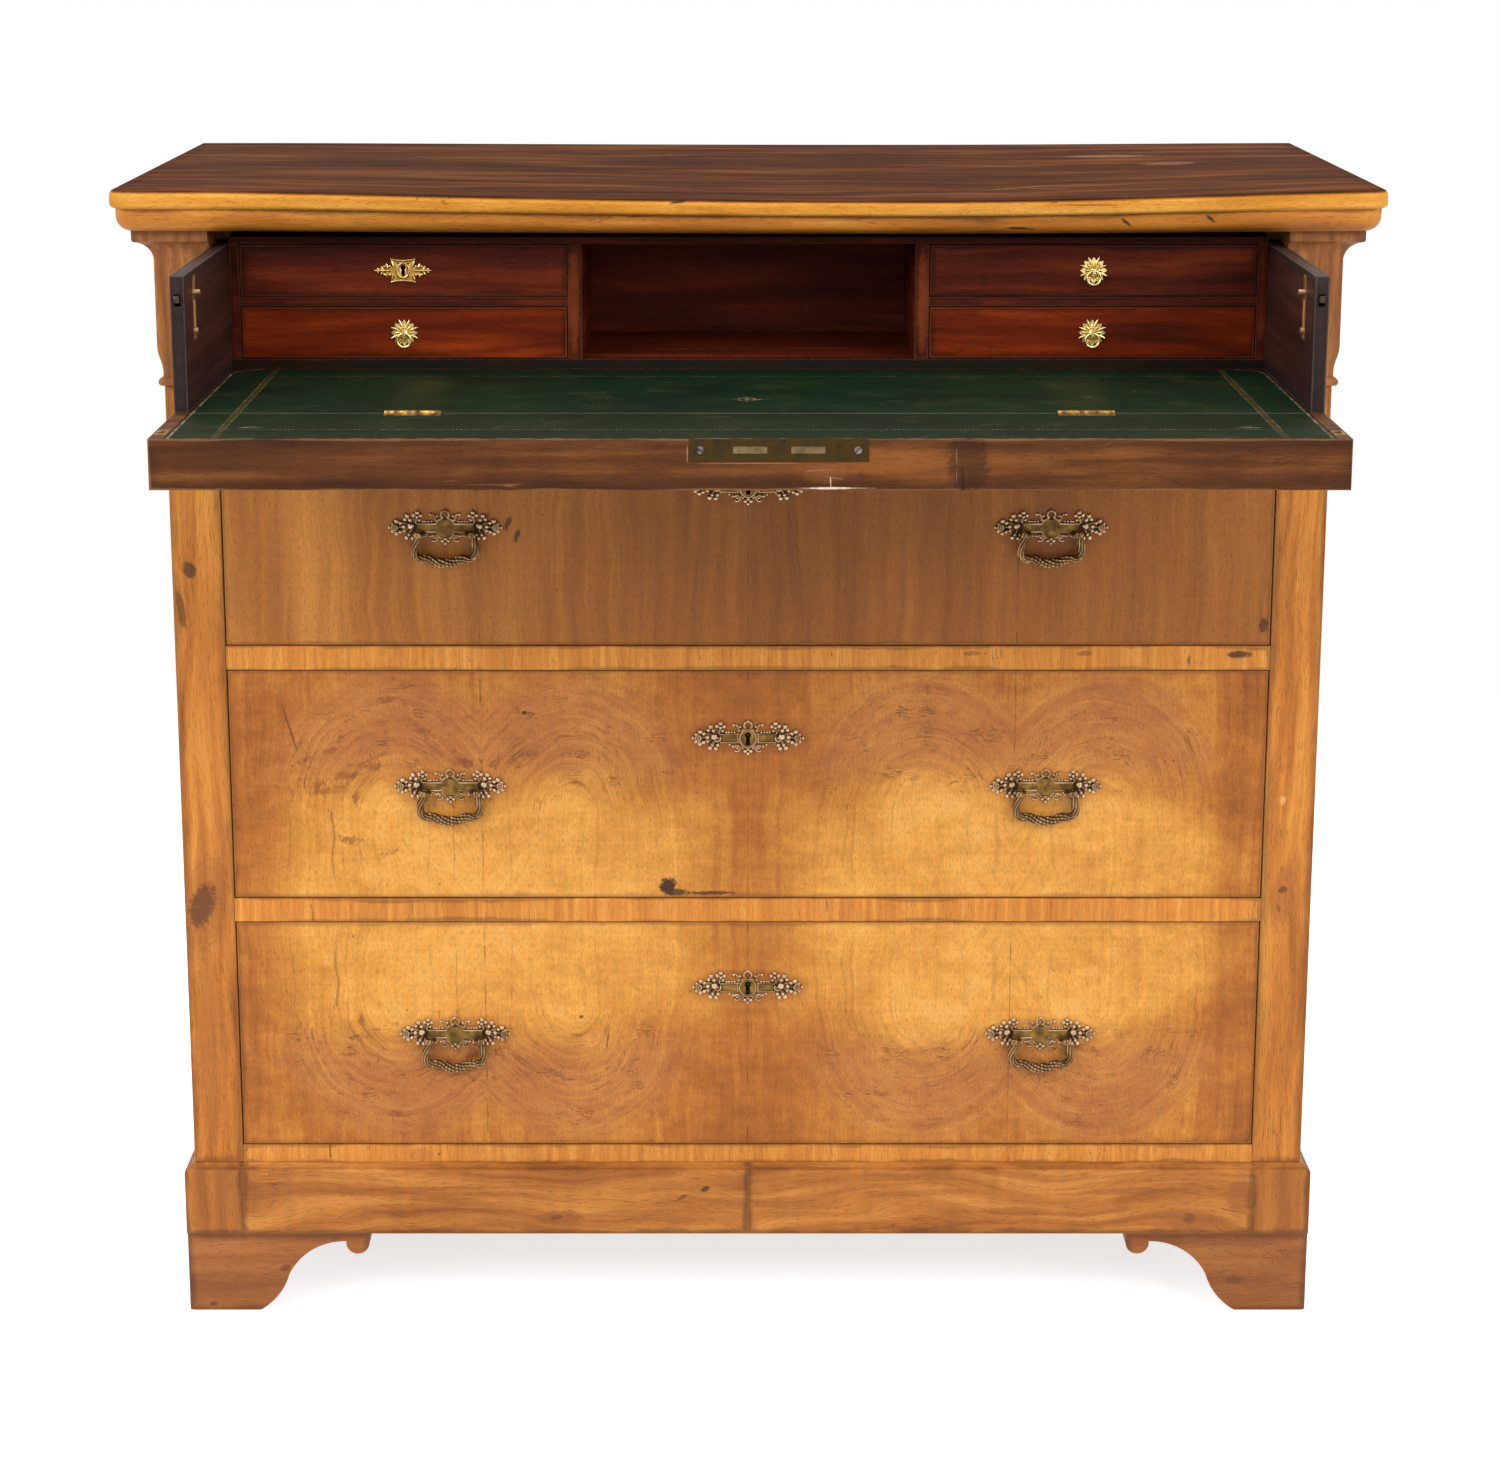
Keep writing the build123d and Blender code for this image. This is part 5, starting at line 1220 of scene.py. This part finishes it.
def keyholeCasting():
    casting = Casting()
    wings(casting)
    crests(casting, 12.0)
    casting.collar(ellipse(7.9, 8.9), keyholeOutline(), 0.0, 2.2)
    casting.hoop(ellipse(7.2, 8.2), 0.85, 2.2)
    for side in (1, -1):
        casting.slab(mirrored(((7, -4.8), (7, 4.8), (25.5, 4.4), (25.5, -4.4)), side), 0.0, 1.2)
        curl = arc(side * 27.2, 0.2, 2.7, 90 - 60 * side, 90 - 300 * side, 14)
        casting.stem(curl, 1.2, 0.8, 2.0)
        casting.bead(side * 27.2, 0.2, 1.2, 1.8)
        frameLine = ((9.4, -3.7), (9.4, 3.7), (24.6, 3.5), (24.6, -3.5))
        casting.hoop([(side * x, z) for x, z in frameLine], 0.7, 1.5)
    return casting.fuse("keyhole_casting")


def smallKeyholeCasting():
    # The gilt keyhole plate of the nest: an eight-sided shield between leafy lozenges
    casting = Casting()
    casting.collar(ellipse(5.4, 6.6), keyholeOutline(0.74), 0.0, 1.3)
    casting.hoop(ellipse(4.9, 6.1), 0.55, 1.3)
    for side in (1, -1):
        for body in (
            [
                (4.5, -5.0), (4.5, 5.0), (7.6, 8.0), (9.8, 8.0), (8.8, 4.4), (10.6, 0), (8.8, -4.4),
                (9.8, -8.0), (7.6, -8.0),
            ],
            [(9.6, -2.6), (9.6, 2.6), (13.6, 5.0), (17.8, 2.4), (23.6, 0), (17.8, -2.4), (13.6, -5.0)],
        ):
            casting.slab(mirrored(body, side), 0.0, 0.9)
        for way in (1, -1):
            casting.stem([(0, side * 8.2), (way * 6.4, side * 8.6), (way * 10.4, side * 9.6)], 0.8, 0.6, 1.0)
        casting.slab([(-6.6, side * 6.0), (6.6, side * 6.0), (7.6, side * 8.4), (-7.6, side * 8.4)], 0.0, 0.9)
        for x, z, toX, toZ, width in (
            (8, 3.4, 9.6, 8.4, 1.0), (8, -3.4, 9.6, -8.4, 1.0), (12.6, 2, 13.8, 6.0, 1.2),
            (12.6, -2, 13.8, -6.0, 1.2), (16.4, 1.0, 18.4, 3.8, 1.0), (16.4, -1.0, 18.4, -3.8, 1.0),
            (10, 0, 24.2, 0, 1.3),
        ):
            casting.leaf(side * x, z, side * toX, toZ, width, 0.9)
        for x, z in ((10.6, 3.6), (10.6, -3.6), (15.4, 3.4), (15.4, -3.4), (20.6, 1.4), (20.6, -1.4)):
            casting.bead(side * x, z, 0.9, 1.1)
    return casting.fuse("small_keyhole_casting")


def rosetteCasting():
    # The eight-pointed rosette with the eye that the ring hangs in
    casting = Casting()
    for k in range(8):
        for turn, near, far, width, out in ((45 * k + 22.5, 3, 12.8, 1.35, 0.7), (45 * k, 2, 8.2, 1.3, 1.0)):
            x, z = math.cos(math.radians(turn)), math.sin(math.radians(turn))
            casting.leaf(near * x, near * z, far * x, far * z, width, out)
    casting.slab(arc(0, 0, 6.2, 0, 360, 32)[:-1], 0.0, 1.0)
    casting.bead(0, 0, 3.6, 0.8, 0.75)
    casting.stem(arc(0, 0, 4.6, 0, 360, 24), 0.5, 0.5, 1.5)
    return casting.fuse("rosette_casting")


def placed(source, name, matrix):
    # A copy of a casting in its own place, the object itself at the origin
    mesh = source.data.copy()
    mesh.transform(matrix)
    return addThing(name, mesh)


def onFront(x, y, z):
    return Matrix.Translation(place(x, y, z)) @ Matrix.Scale(mm, 4)


def middleOfBox(node):
    low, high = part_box(node)
    return (low + high) / 2


# Bails: one bar swept along its bow, fluted down the legs and leafy under the bow

bail = {
    "leg": 24.0, "swell": 2.8, "knee": 11.0, "cornerDrop": 19.4, "corner": 25.6, "bow": 12.5,
    "bowDrop": 21.8, "depth": 25.4, "bar": 3.6, "leafy": 1.1, "waves": 15.0, "flutes": 7.0,
    "fluteDepth": 0.2, "rings": 150, "sides": 28, "eye": 3.3, "eyeHalf": 2.9, "pin": 1.5, "postInner": 16.2,
    "post": 19.8, "plateRise": 6.0,
}


class Tree:
    # A geometry node tree with named inputs; close() realises its result and gives it its material
    def __init__(self, name, inputs):
        self.tree = bpy.data.node_groups.new(name, "GeometryNodeTree")
        face = self.tree.interface
        face.new_socket("Geometry", in_out="INPUT", socket_type="NodeSocketGeometry")
        for label, kind, value in inputs:
            socket = face.new_socket(label, in_out="INPUT", socket_type="NodeSocket" + kind)
            if value is not None:
                socket.default_value = value
        face.new_socket("Material", in_out="INPUT", socket_type="NodeSocketMaterial")
        face.new_socket("Geometry", in_out="OUTPUT", socket_type="NodeSocketGeometry")
        self.inputs = self.tree.nodes.new("NodeGroupInput").outputs

    def node(self, kind, values=None, output=0, **settings):
        made = self.tree.nodes.new(kind)
        for key, value in settings.items():
            setattr(made, key, value)
        for key, value in (values or {}).items():
            if isinstance(value, bpy.types.NodeSocket):
                self.tree.links.new(value, made.inputs[key])
            else:
                made.inputs[key].default_value = value
        return made.outputs[output]

    def maths(self, operation, *values):
        return self.node("ShaderNodeMath", dict(enumerate(values)), operation=operation)

    def times(self, first, second):
        return self.maths("MULTIPLY", first, second)

    def close(self, geometry):
        real = self.node("GeometryNodeRealizeInstances", {"Geometry": geometry})
        values = {"Geometry": real, "Material": self.inputs["Material"]}
        painted = self.node("GeometryNodeSetMaterial", values)
        self.tree.links.new(painted, self.tree.nodes.new("NodeGroupOutput").inputs["Geometry"])
        return self.tree


bailInputs = {
    "Bar Radius": bail["bar"], "Leaf Height": bail["leafy"], "Leaf Waves": bail["waves"],
    "Flute Depth": bail["fluteDepth"], "Flutes": bail["flutes"],
}


def bailTree():
    # Sweeps a fluted ring along a curve, thicker and leafier where the curve hangs lowest
    bar = Tree("bail_bar", [(label, "Float", value) for label, value in bailInputs.items()])
    line = bar.node("GeometryNodeResampleCurve", {"Curve": bar.inputs["Geometry"], "Count": bail["rings"]})
    share = bar.node("GeometryNodeSplineParameter", output="Factor")
    fromMiddle = bar.maths("ABSOLUTE", bar.maths("SUBTRACT", share, 0.5))
    leafy = bar.maths("MAXIMUM", bar.maths("SUBTRACT", 1.0, bar.times(fromMiddle, 4.0)), 0.0)
    turn = bar.times(bar.times(share, bar.inputs["Leaf Waves"]), 2 * math.pi)
    wave = bar.times(bar.maths("ABSOLUTE", bar.maths("SINE", turn)), bar.maths("POWER", leafy, 0.6))
    swell = bar.times(wave, bar.inputs["Leaf Height"])
    knee = bar.times(bar.maths("SINE", bar.times(share, 10 * math.pi)), 0.12)
    plainBar = bar.maths("ADD", bar.times(bar.inputs["Bar Radius"], 0.9), knee)
    radius = bar.maths("ADD", plainBar, swell)
    line = bar.node("GeometryNodeSetCurveRadius", {"Curve": line, "Radius": radius})
    line = bar.node("GeometryNodeSetCurveTilt", {"Curve": line, "Tilt": bar.times(share, 9.0)})
    ring = bar.node("GeometryNodeCurvePrimitiveCircle", {"Resolution": bail["sides"], "Radius": 1.0})
    turn = bar.times(bar.node("GeometryNodeInputIndex"), 2 * math.pi / bail["sides"])
    flute = bar.times(bar.maths("COSINE", bar.times(turn, bar.inputs["Flutes"])), bar.inputs["Flute Depth"])
    values = {0: bar.node("GeometryNodeInputPosition"), "Scale": bar.maths("ADD", 1.0, flute)}
    spot = bar.node("ShaderNodeVectorMath", values, operation="SCALE")
    ring = bar.node("GeometryNodeSetPosition", {"Geometry": ring, "Position": spot})
    swept = {"Curve": line, "Profile Curve": ring, "Scale": radius, "Fill Caps": True}
    return bar.close(bar.node("GeometryNodeCurveToMesh", swept))


def runTree(thing, tree, values, name):
    # Sets a tree's named inputs by their identifiers, then makes its result a plain mesh
    modifier = thing.modifiers.new(tree.name, "NODES")
    modifier.node_group = tree
    for item in tree.interface.items_tree:
        if item.item_type == "SOCKET" and item.in_out == "INPUT" and item.name in values:
            modifier[item.identifier] = values[item.name]
    return evaluated(thing, name)


def bailCasting():
    half = [
        (bail["leg"] - 0.6, 3.0), (bail["leg"] + 0.2, -1.5), (bail["leg"] + 1.5, -6.0),
        (bail["leg"] + bail["swell"], -bail["knee"]), (bail["leg"] + bail["swell"], -15.0),
        (bail["corner"], -bail["cornerDrop"] + 0.6), (21.5, -bail["cornerDrop"] - 2.0),
        (16.5, -bail["cornerDrop"] - 1.0), (bail["bow"], -bail["bowDrop"] + 0.2),
        (7.0, -bail["bowDrop"] - 2.2), (3.0, -bail["bowDrop"] - 2.7),
    ]
    points = [(-x, z) for x, z in half] + [(0.0, -bail["depth"] + 0.9)] + half[::-1]
    curve = bpy.data.curves.new("bail_line", "CURVE")
    curve.dimensions = "3D"
    spline = curve.splines.new("NURBS")
    spline.points.add(len(points) - 1)
    for point, (x, z) in zip(spline.points, points):
        point.co = (x, 0.0, z, 1.0)
    spline.order_u = 3
    spline.use_endpoint_u = True
    spline.resolution_u = 8
    line = addThing("bail_line", curve)
    swept = runTree(line, bailTree(), {**bailInputs, "Material": bailBrass}, "bail_bar")
    casting = Casting()
    casting.body.from_mesh(swept.data)
    bpy.data.objects.remove(swept)
    for side in (1, -1):
        # The eye at the top of each leg, and its pin into the post
        leg = side * bail["leg"]
        eyeLine = [(leg - bail["eyeHalf"], 0), (leg + bail["eyeHalf"], 0)]
        casting.stem(eyeLine, bail["eye"], bail["eye"], 0.0, 1.0)
        casting.stem([(side * bail["postInner"], 0), (leg, 0)], bail["pin"], bail["pin"], 0.0, 1.0)
        casting.bead(side * (bail["corner"] - 0.6), -bail["cornerDrop"], 3.5, 0.0, 0.95)
        for x, z, toX, toZ, width in (
            (22, -20.8, 15.6, -19.4, 1.3), (17, -22.6, 11, -21.0, 1.2), (12, -24.0, 5.6, -22.8, 1.2),
            (25.4, -17.0, 26.8, -12.6, 1.2),
        ):
            casting.leaf(side * x, z, side * toX, toZ, width, 1.9)
            casting.leaf(side * x, z, side * toX, toZ, width, -1.9)
        casting.bead(side * 3.2, -25.8, 1.7, 1.4)
    casting.bead(0, -23.8, 2.2, 1.8)
    casting.bead(0, -26.8, 1.5, 0.6)
    return casting.fuse("bail_casting")


# The drawers' mounts

handleSource = handleCasting()
keyholeSource = keyholeCasting()
bailSource = bailCasting()
frontLevel = behindFront(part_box("drawer_2_front")[0].y)


def screwHead(name, radius, height, slotWidth, slotDepth):
    # A slotted head in a casting's own place: a low disc with two half moons on it
    casting = Casting()
    casting.slab(arc(0, 0, radius, 0, 360, 24)[:-1], -0.4, height - slotDepth)
    start = math.degrees(math.asin(slotWidth / 2 / radius))
    for turn in (0, 180):
        moon = arc(0, 0, radius * 0.96, turn + start, turn + 180 - start, 12)
        casting.slab(moon, height - 1.3 * slotDepth, height)
    thing = casting.laidOut(name)
    thing.data.transform(Matrix.Scale(mm, 4))
    return thing


fullSpin = 3.1  # how far a head may be turned either way, in radians


def scatterTree():
    # One head on each point, turned as the point's aim says and spun at random
    rows = Tree("fastener_rows", (("Head", "Object", None), ("Spin", "Float", fullSpin), ("Seed", "Int", 3)))
    spin = rows.inputs["Spin"]
    points = rows.node("GeometryNodeMeshToPoints", {"Mesh": rows.inputs["Geometry"]})
    head = rows.node("GeometryNodeObjectInfo", {"Object": rows.inputs["Head"]}, "Geometry")
    aim = rows.node("GeometryNodeInputNamedAttribute", {"Name": "aim"}, data_type="FLOAT_VECTOR")
    # Inputs 2 and 3 and output 1 are this node's least, most and result as plain numbers
    limits = {2: rows.times(spin, -1.0), 3: spin, "Seed": rows.inputs["Seed"]}
    spun = rows.node("FunctionNodeRandomValue", limits, 1, data_type="FLOAT")
    values = {"Points": points, "Instance": head, "Rotation": aim}
    heads = rows.node("GeometryNodeInstanceOnPoints", values)
    turn = rows.node("ShaderNodeCombineXYZ", {"Y": spun})
    turned = {"Instances": heads, "Rotation": turn, "Local Space": True}
    return rows.close(rows.node("GeometryNodeRotateInstances", turned))


aims = {"front": (0.0, 0.0, 0.0), "up": (-math.pi / 2, 0.0, 0.0), "back": (0.0, 0.0, math.pi)}
fastenerTree = scatterTree()


def fasten(name, head, places, body, material, seed):
    # A row of heads on one body: places are (x, y, z, aim) in millimetres
    holder = thingFrom(name, [place(x, y, z) for x, y, z, _ in places], [])
    giveNumbers(holder.data, "aim", [aims[aim] for *_, aim in places])
    values = {"Head": head, "Spin": fullSpin, "Seed": seed, "Material": material}
    thing = runTree(holder, fastenerTree, values, name)
    return settle(thing, body, material)


lockSolids = (0, 3, 4, 6, 7)  # of a drawer's mounts, those that no casting stands for: lock case and nuts


def mountDrawer(number):
    node = f"drawer_{number}_mounts"
    body = bodyOf[node]
    dress(node, lockBrass, "cast_brass", None, 0.25, None, lockSolids, f"drawer_{number}_lock_case")
    for side in ("left", "right"):
        low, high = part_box(f"drawer_{number}_bail_{side}")
        x = (low.x + high.x) / 2 / mm
        pivot = high.z / mm - bail["eye"]
        plateName = f"drawer_{number}_handle_plate_{side}"
        matrix = onFront(x, frontLevel, pivot + bail["plateRise"])
        thing = placed(handleSource, plateName, matrix)
        settle(thing, body, castBrass, (node,))
        field = placed(fieldSource, f"{plateName}_field", matrix)
        settle(field, body, bandBrass)
        posts = placed(postSource, f"drawer_{number}_posts_{side}", onFront(x, frontLevel, pivot))
        settle(posts, body, bailBrass)
        bar = f"drawer_{number}_bail_{side}"
        depth = behindFront((low.y + high.y) / 2)
        thing = placed(bailSource, f"{bar}_cast", onFront(x, depth, pivot))
        settle(thing, bar, bailBrass, (bar,))
    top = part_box(f"drawer_{number}_front")[1].z / mm
    matrix = onFront(0, frontLevel, top - keyholeDrop)
    thing = placed(keyholeSource, f"drawer_{number}_keyhole_plate", matrix)
    settle(thing, body, castBrass)
    field = placed(keyholeFieldSource, f"drawer_{number}_keyhole_field", matrix)
    settle(field, body, bandBrass)


def handleField():
    # The plain sunk field between the handle plate's rims
    casting = Casting()
    casting.slab(bandOutline(0.4), 1.0, 1.6)
    return casting.laidOut("handle_field")


def keyholeField():
    # The plain fields beside the keyhole and the smooth plate round it
    casting = Casting()
    for side in (1, -1):
        casting.slab(mirrored(((7.2, -3.1), (7.2, 3.1), (23.0, 2.9), (23.0, -2.9)), side), 1.0, 1.6)
    casting.collar(ellipse(6.3, 7.6), keyholeOutline(), 1.8, 2.5)
    return casting.laidOut("keyhole_field")


def postCasting():
    # The posts that stand out of the plate and hold the bail's pins
    casting = Casting()
    for side in (1, -1):
        middle = side * bail["post"]
        for radius, low, high in ((3.2, 0.5, 2.6), (2.3, 2.4, 10.0)):
            casting.slab(arc(middle, 0, radius, 0, 360, 20)[:-1], low, high)
        casting.bead(middle, 0, 2.5, 9.6, 0.6)
        casting.slab(arc(middle, 0, 1.9, 0, 360, 16)[:-1], -22.5, 1.0)
    return casting.fuse("post_casting")


def mountFall():
    middle = middleOfBox("fall_escutcheon")
    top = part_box("fall_escutcheon")[1].z
    matrix = Matrix.Translation((middle.x, middle.y, top)) @ Matrix.Rotation(math.pi / 2, 4, "X")
    matrix = matrix @ Matrix.Scale(mm, 4)
    thing = placed(keyholeSource, "fall_keyhole_plate", matrix)
    settle(thing, bodyOf["fall_escutcheon"], castBrass, ("fall_escutcheon",))
    field = placed(keyholeFieldSource, "fall_keyhole_field", matrix)
    settle(field, bodyOf["fall_escutcheon"], bandBrass)


ringDrawers = ("lower_left", "lower_right", "upper_right")


def onWood(node, size=1.0):
    # A small casting's place: the middle of its CAD node, on the wood behind it
    middle, face = middleOfBox(node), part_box(node)[1].y
    return Matrix.Translation((middle.x, face, middle.z)) @ Matrix.Scale(mm * size, 4)


def mountNest():
    small = smallKeyholeCasting()
    rosette = rosetteCasting()
    node = "nest_drawer_upper_left_escutcheon"
    keyhole = placed(small, "nest_keyhole_plate", onWood(node, 1.06))
    settle(keyhole, bodyOf[node], giltBrass, (node,))
    for drawer in ringDrawers:
        node = f"nest_drawer_{drawer}_rosette"
        settle(placed(rosette, f"{node}_cast", onWood(node)), bodyOf[node], giltBrass)
    for thing in (small, rosette):
        bpy.data.objects.remove(thing)


postSource = postCasting()
fieldSource = handleField()
keyholeFieldSource = keyholeField()
for number in (1, 2, 3):
    mountDrawer(number)
mountFall()
mountNest()
for thing in (handleSource, keyholeSource, bailSource, postSource, fieldSource, keyholeFieldSource):
    bpy.data.objects.remove(thing)
for drawer in ringDrawers:
    keepNode(f"nest_drawer_{drawer}_rosette", giltBrass)
    keepNode(f"nest_drawer_{drawer}_ring", giltBrass)
print("castings mounted")


# Screws and nails

fasteners = {
    # heads: radius, height, width and depth of the slot
    "hinge": (2.1, 0.3, 0.7, 0.35), "plate": (3.1, 0.3, 0.9, 0.5), "keeper": (1.8, 0.25, 0.6, 0.3),
    "nail": (2.4, 0.5, 0.3, 0.02), "hingeMiddle": 271, "hingeSteps": (-17, 0, 17),
    "hingeRows": {"writing_drawer": -216.3, "fall": -230.0}, "lockX": (-38.6, 83.0), "lockZ": 870.8,
    "keeperX": 457.5, "keeperRows": (-321.6, -306.4), "backBoards": 4, "boardPitch": 244, "nailDepth": 451,
    "nailSteps": (-100, -35, 35, 100), "nailHeights": (125, 560, 990),
}


def fastenAll():
    kinds = ("hinge", "plate", "keeper", "nail")
    heads = {kind: screwHead(f"{kind}_head", *fasteners[kind]) for kind in kinds}
    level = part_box("writing_board")[1].z / mm
    for body, y in fasteners["hingeRows"].items():
        rows = [
            (side * fasteners["hingeMiddle"] + step, y, level, "up")
            for side in (1, -1) for step in fasteners["hingeSteps"]
        ]
        fasten(f"{body}_hinge_screws", heads["hinge"], rows, body, screwSteel, 5)
    face = behindFront(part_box("fall_lock")[0].y)
    rows = [(x, face, fasteners["lockZ"], "front") for x in fasteners["lockX"]]
    fasten("fall_lock_screws", heads["plate"], rows, "fall", screwSteel, 11)
    rows = [
        (side * fasteners["keeperX"], y, level, "up")
        for side in (1, -1) for y in fasteners["keeperRows"]
    ]
    fasten("fall_keeper_screws", heads["keeper"], rows, "fall", screwSteel, 2)
    rows = []
    for board in range(fasteners["backBoards"]):
        middle = (board - (fasteners["backBoards"] - 1) / 2) * fasteners["boardPitch"]
        for z in fasteners["nailHeights"]:
            rows += [(middle + step, fasteners["nailDepth"], z, "back") for step in fasteners["nailSteps"]]
    fasten("back_board_nails", heads["nail"], rows, "root", screwSteel, 8)
    for head in heads.values():
        bpy.data.objects.remove(head)


fastenAll()
print("screws and nails set")


# Floor, light and camera

studio = {
    "floorSize": 30.0, "floorTint": (0.78, 0.815, 0.855, 1.0), "lift": 0.7, "whiteFrom": 1.5, "whiteAt": 2.6,
    "worldStrength": 0.52,
    "lamps": (
        # place, size, power, aim
        ((-2.6, -2.8, 2.9), 2.4, 78.0, (0.0, 0.0, 0.55)),
        ((2.6, -2.9, 2.7), 2.4, 70.0, (0.0, 0.0, 0.55)),
        ((0.0, -0.6, 3.4), 2.0, 30.0, (0.0, 0.0, 0.8)),
        ((-2.9, 2.6, 2.3), 2.2, 34.0, (0.0, 0.0, 0.5)),
        ((2.9, 2.6, 2.3), 2.2, 34.0, (0.0, 0.0, 0.5)),
    ),
    "shiftX": 0.0103, "shiftY": -0.10, "lens": 77.04, "pitch": 12.53, "camera": (-12.0, -2776.0, 1303.0),
}


def floorSheet():
    # White paper: it keeps the object's shadow; far off it is plain white to the camera and to reflections
    sheet = Sheet("floor_paper")
    rays = sheet.node("ShaderNodeLightPath", {}, {}, "Is Camera Ray")
    glossy = Wire(sheet, rays.socket.node.outputs["Is Glossy Ray"])
    clear = Wire(sheet, rays.socket.node.outputs["Is Transmission Ray"])
    seen = rays.over(glossy).over(clear)
    x, y, _ = sheet.split(sheet.object())
    far = ((x * x + y * y) ** 0.5).fade(studio["whiteFrom"], studio["whiteAt"])
    paper = sheet.node("ShaderNodeBsdfDiffuse", {}, {"Color": studio["floorTint"]})
    lift = sheet.node("ShaderNodeEmission", {}, {"Color": (1, 1, 1, 1), "Strength": seen * studio["lift"]})
    near = sheet.node("ShaderNodeAddShader", {}, {0: paper, 1: lift})
    white = sheet.node("ShaderNodeEmission", {}, {"Color": (1, 1, 1, 1), "Strength": 1.0})
    return sheet.close(sheet.node("ShaderNodeMixShader", {}, {0: far * seen, 1: near, 2: white}))


def buildStudio():
    half = studio["floorSize"] / 2
    corners = [(-half, -half, 0), (half, -half, 0), (half, half, 0), (-half, half, 0)]
    floor = thingFrom("floor", corners, [(0, 1, 2, 3)])
    floor.data.materials.append(floorSheet())
    world = bpy.data.worlds.new("studio")
    bpy.context.scene.world = world
    world.use_nodes = True
    tree = world.node_tree
    background = [node for node in tree.nodes if node.type == "BACKGROUND"][0]
    background.inputs["Color"].default_value = (1, 1, 1, 1)
    rays = tree.nodes.new("ShaderNodeLightPath")
    strength = None
    for kind in ("Is Camera Ray", "Is Glossy Ray", "Is Transmission Ray"):
        most = tree.nodes.new("ShaderNodeMath")
        most.operation = "MAXIMUM"
        most.inputs[1].default_value = studio["worldStrength"]
        tree.links.new(rays.outputs[kind], most.inputs[0])
        if strength:
            tree.links.new(strength, most.inputs[1])
        strength = most.outputs[0]
    tree.links.new(strength, background.inputs["Strength"])
    for number, (spot, size, power, aim) in enumerate(studio["lamps"]):
        light = bpy.data.lights.new(f"lamp_{number}", "AREA")
        light.size = size
        light.energy = power
        lamp = addThing(f"lamp_{number}", light)
        lamp.location = spot
        lamp.rotation_euler = (Vector(aim) - Vector(spot)).to_track_quat("-Z", "Y").to_euler()


def buildCamera():
    data = bpy.data.cameras.new("camera")
    data.sensor_width = 36.0
    data.lens = studio["lens"]
    data.shift_x = studio["shiftX"]
    data.shift_y = studio["shiftY"]
    camera = addThing("camera", data)
    camera.location = place(*studio["camera"])
    camera.rotation_euler = (math.radians(90 - studio["pitch"]), 0, 0)
    bpy.context.scene.camera = camera


buildStudio()
buildCamera()
bpy.context.scene.view_settings.view_transform = "Standard"
print("stage set")
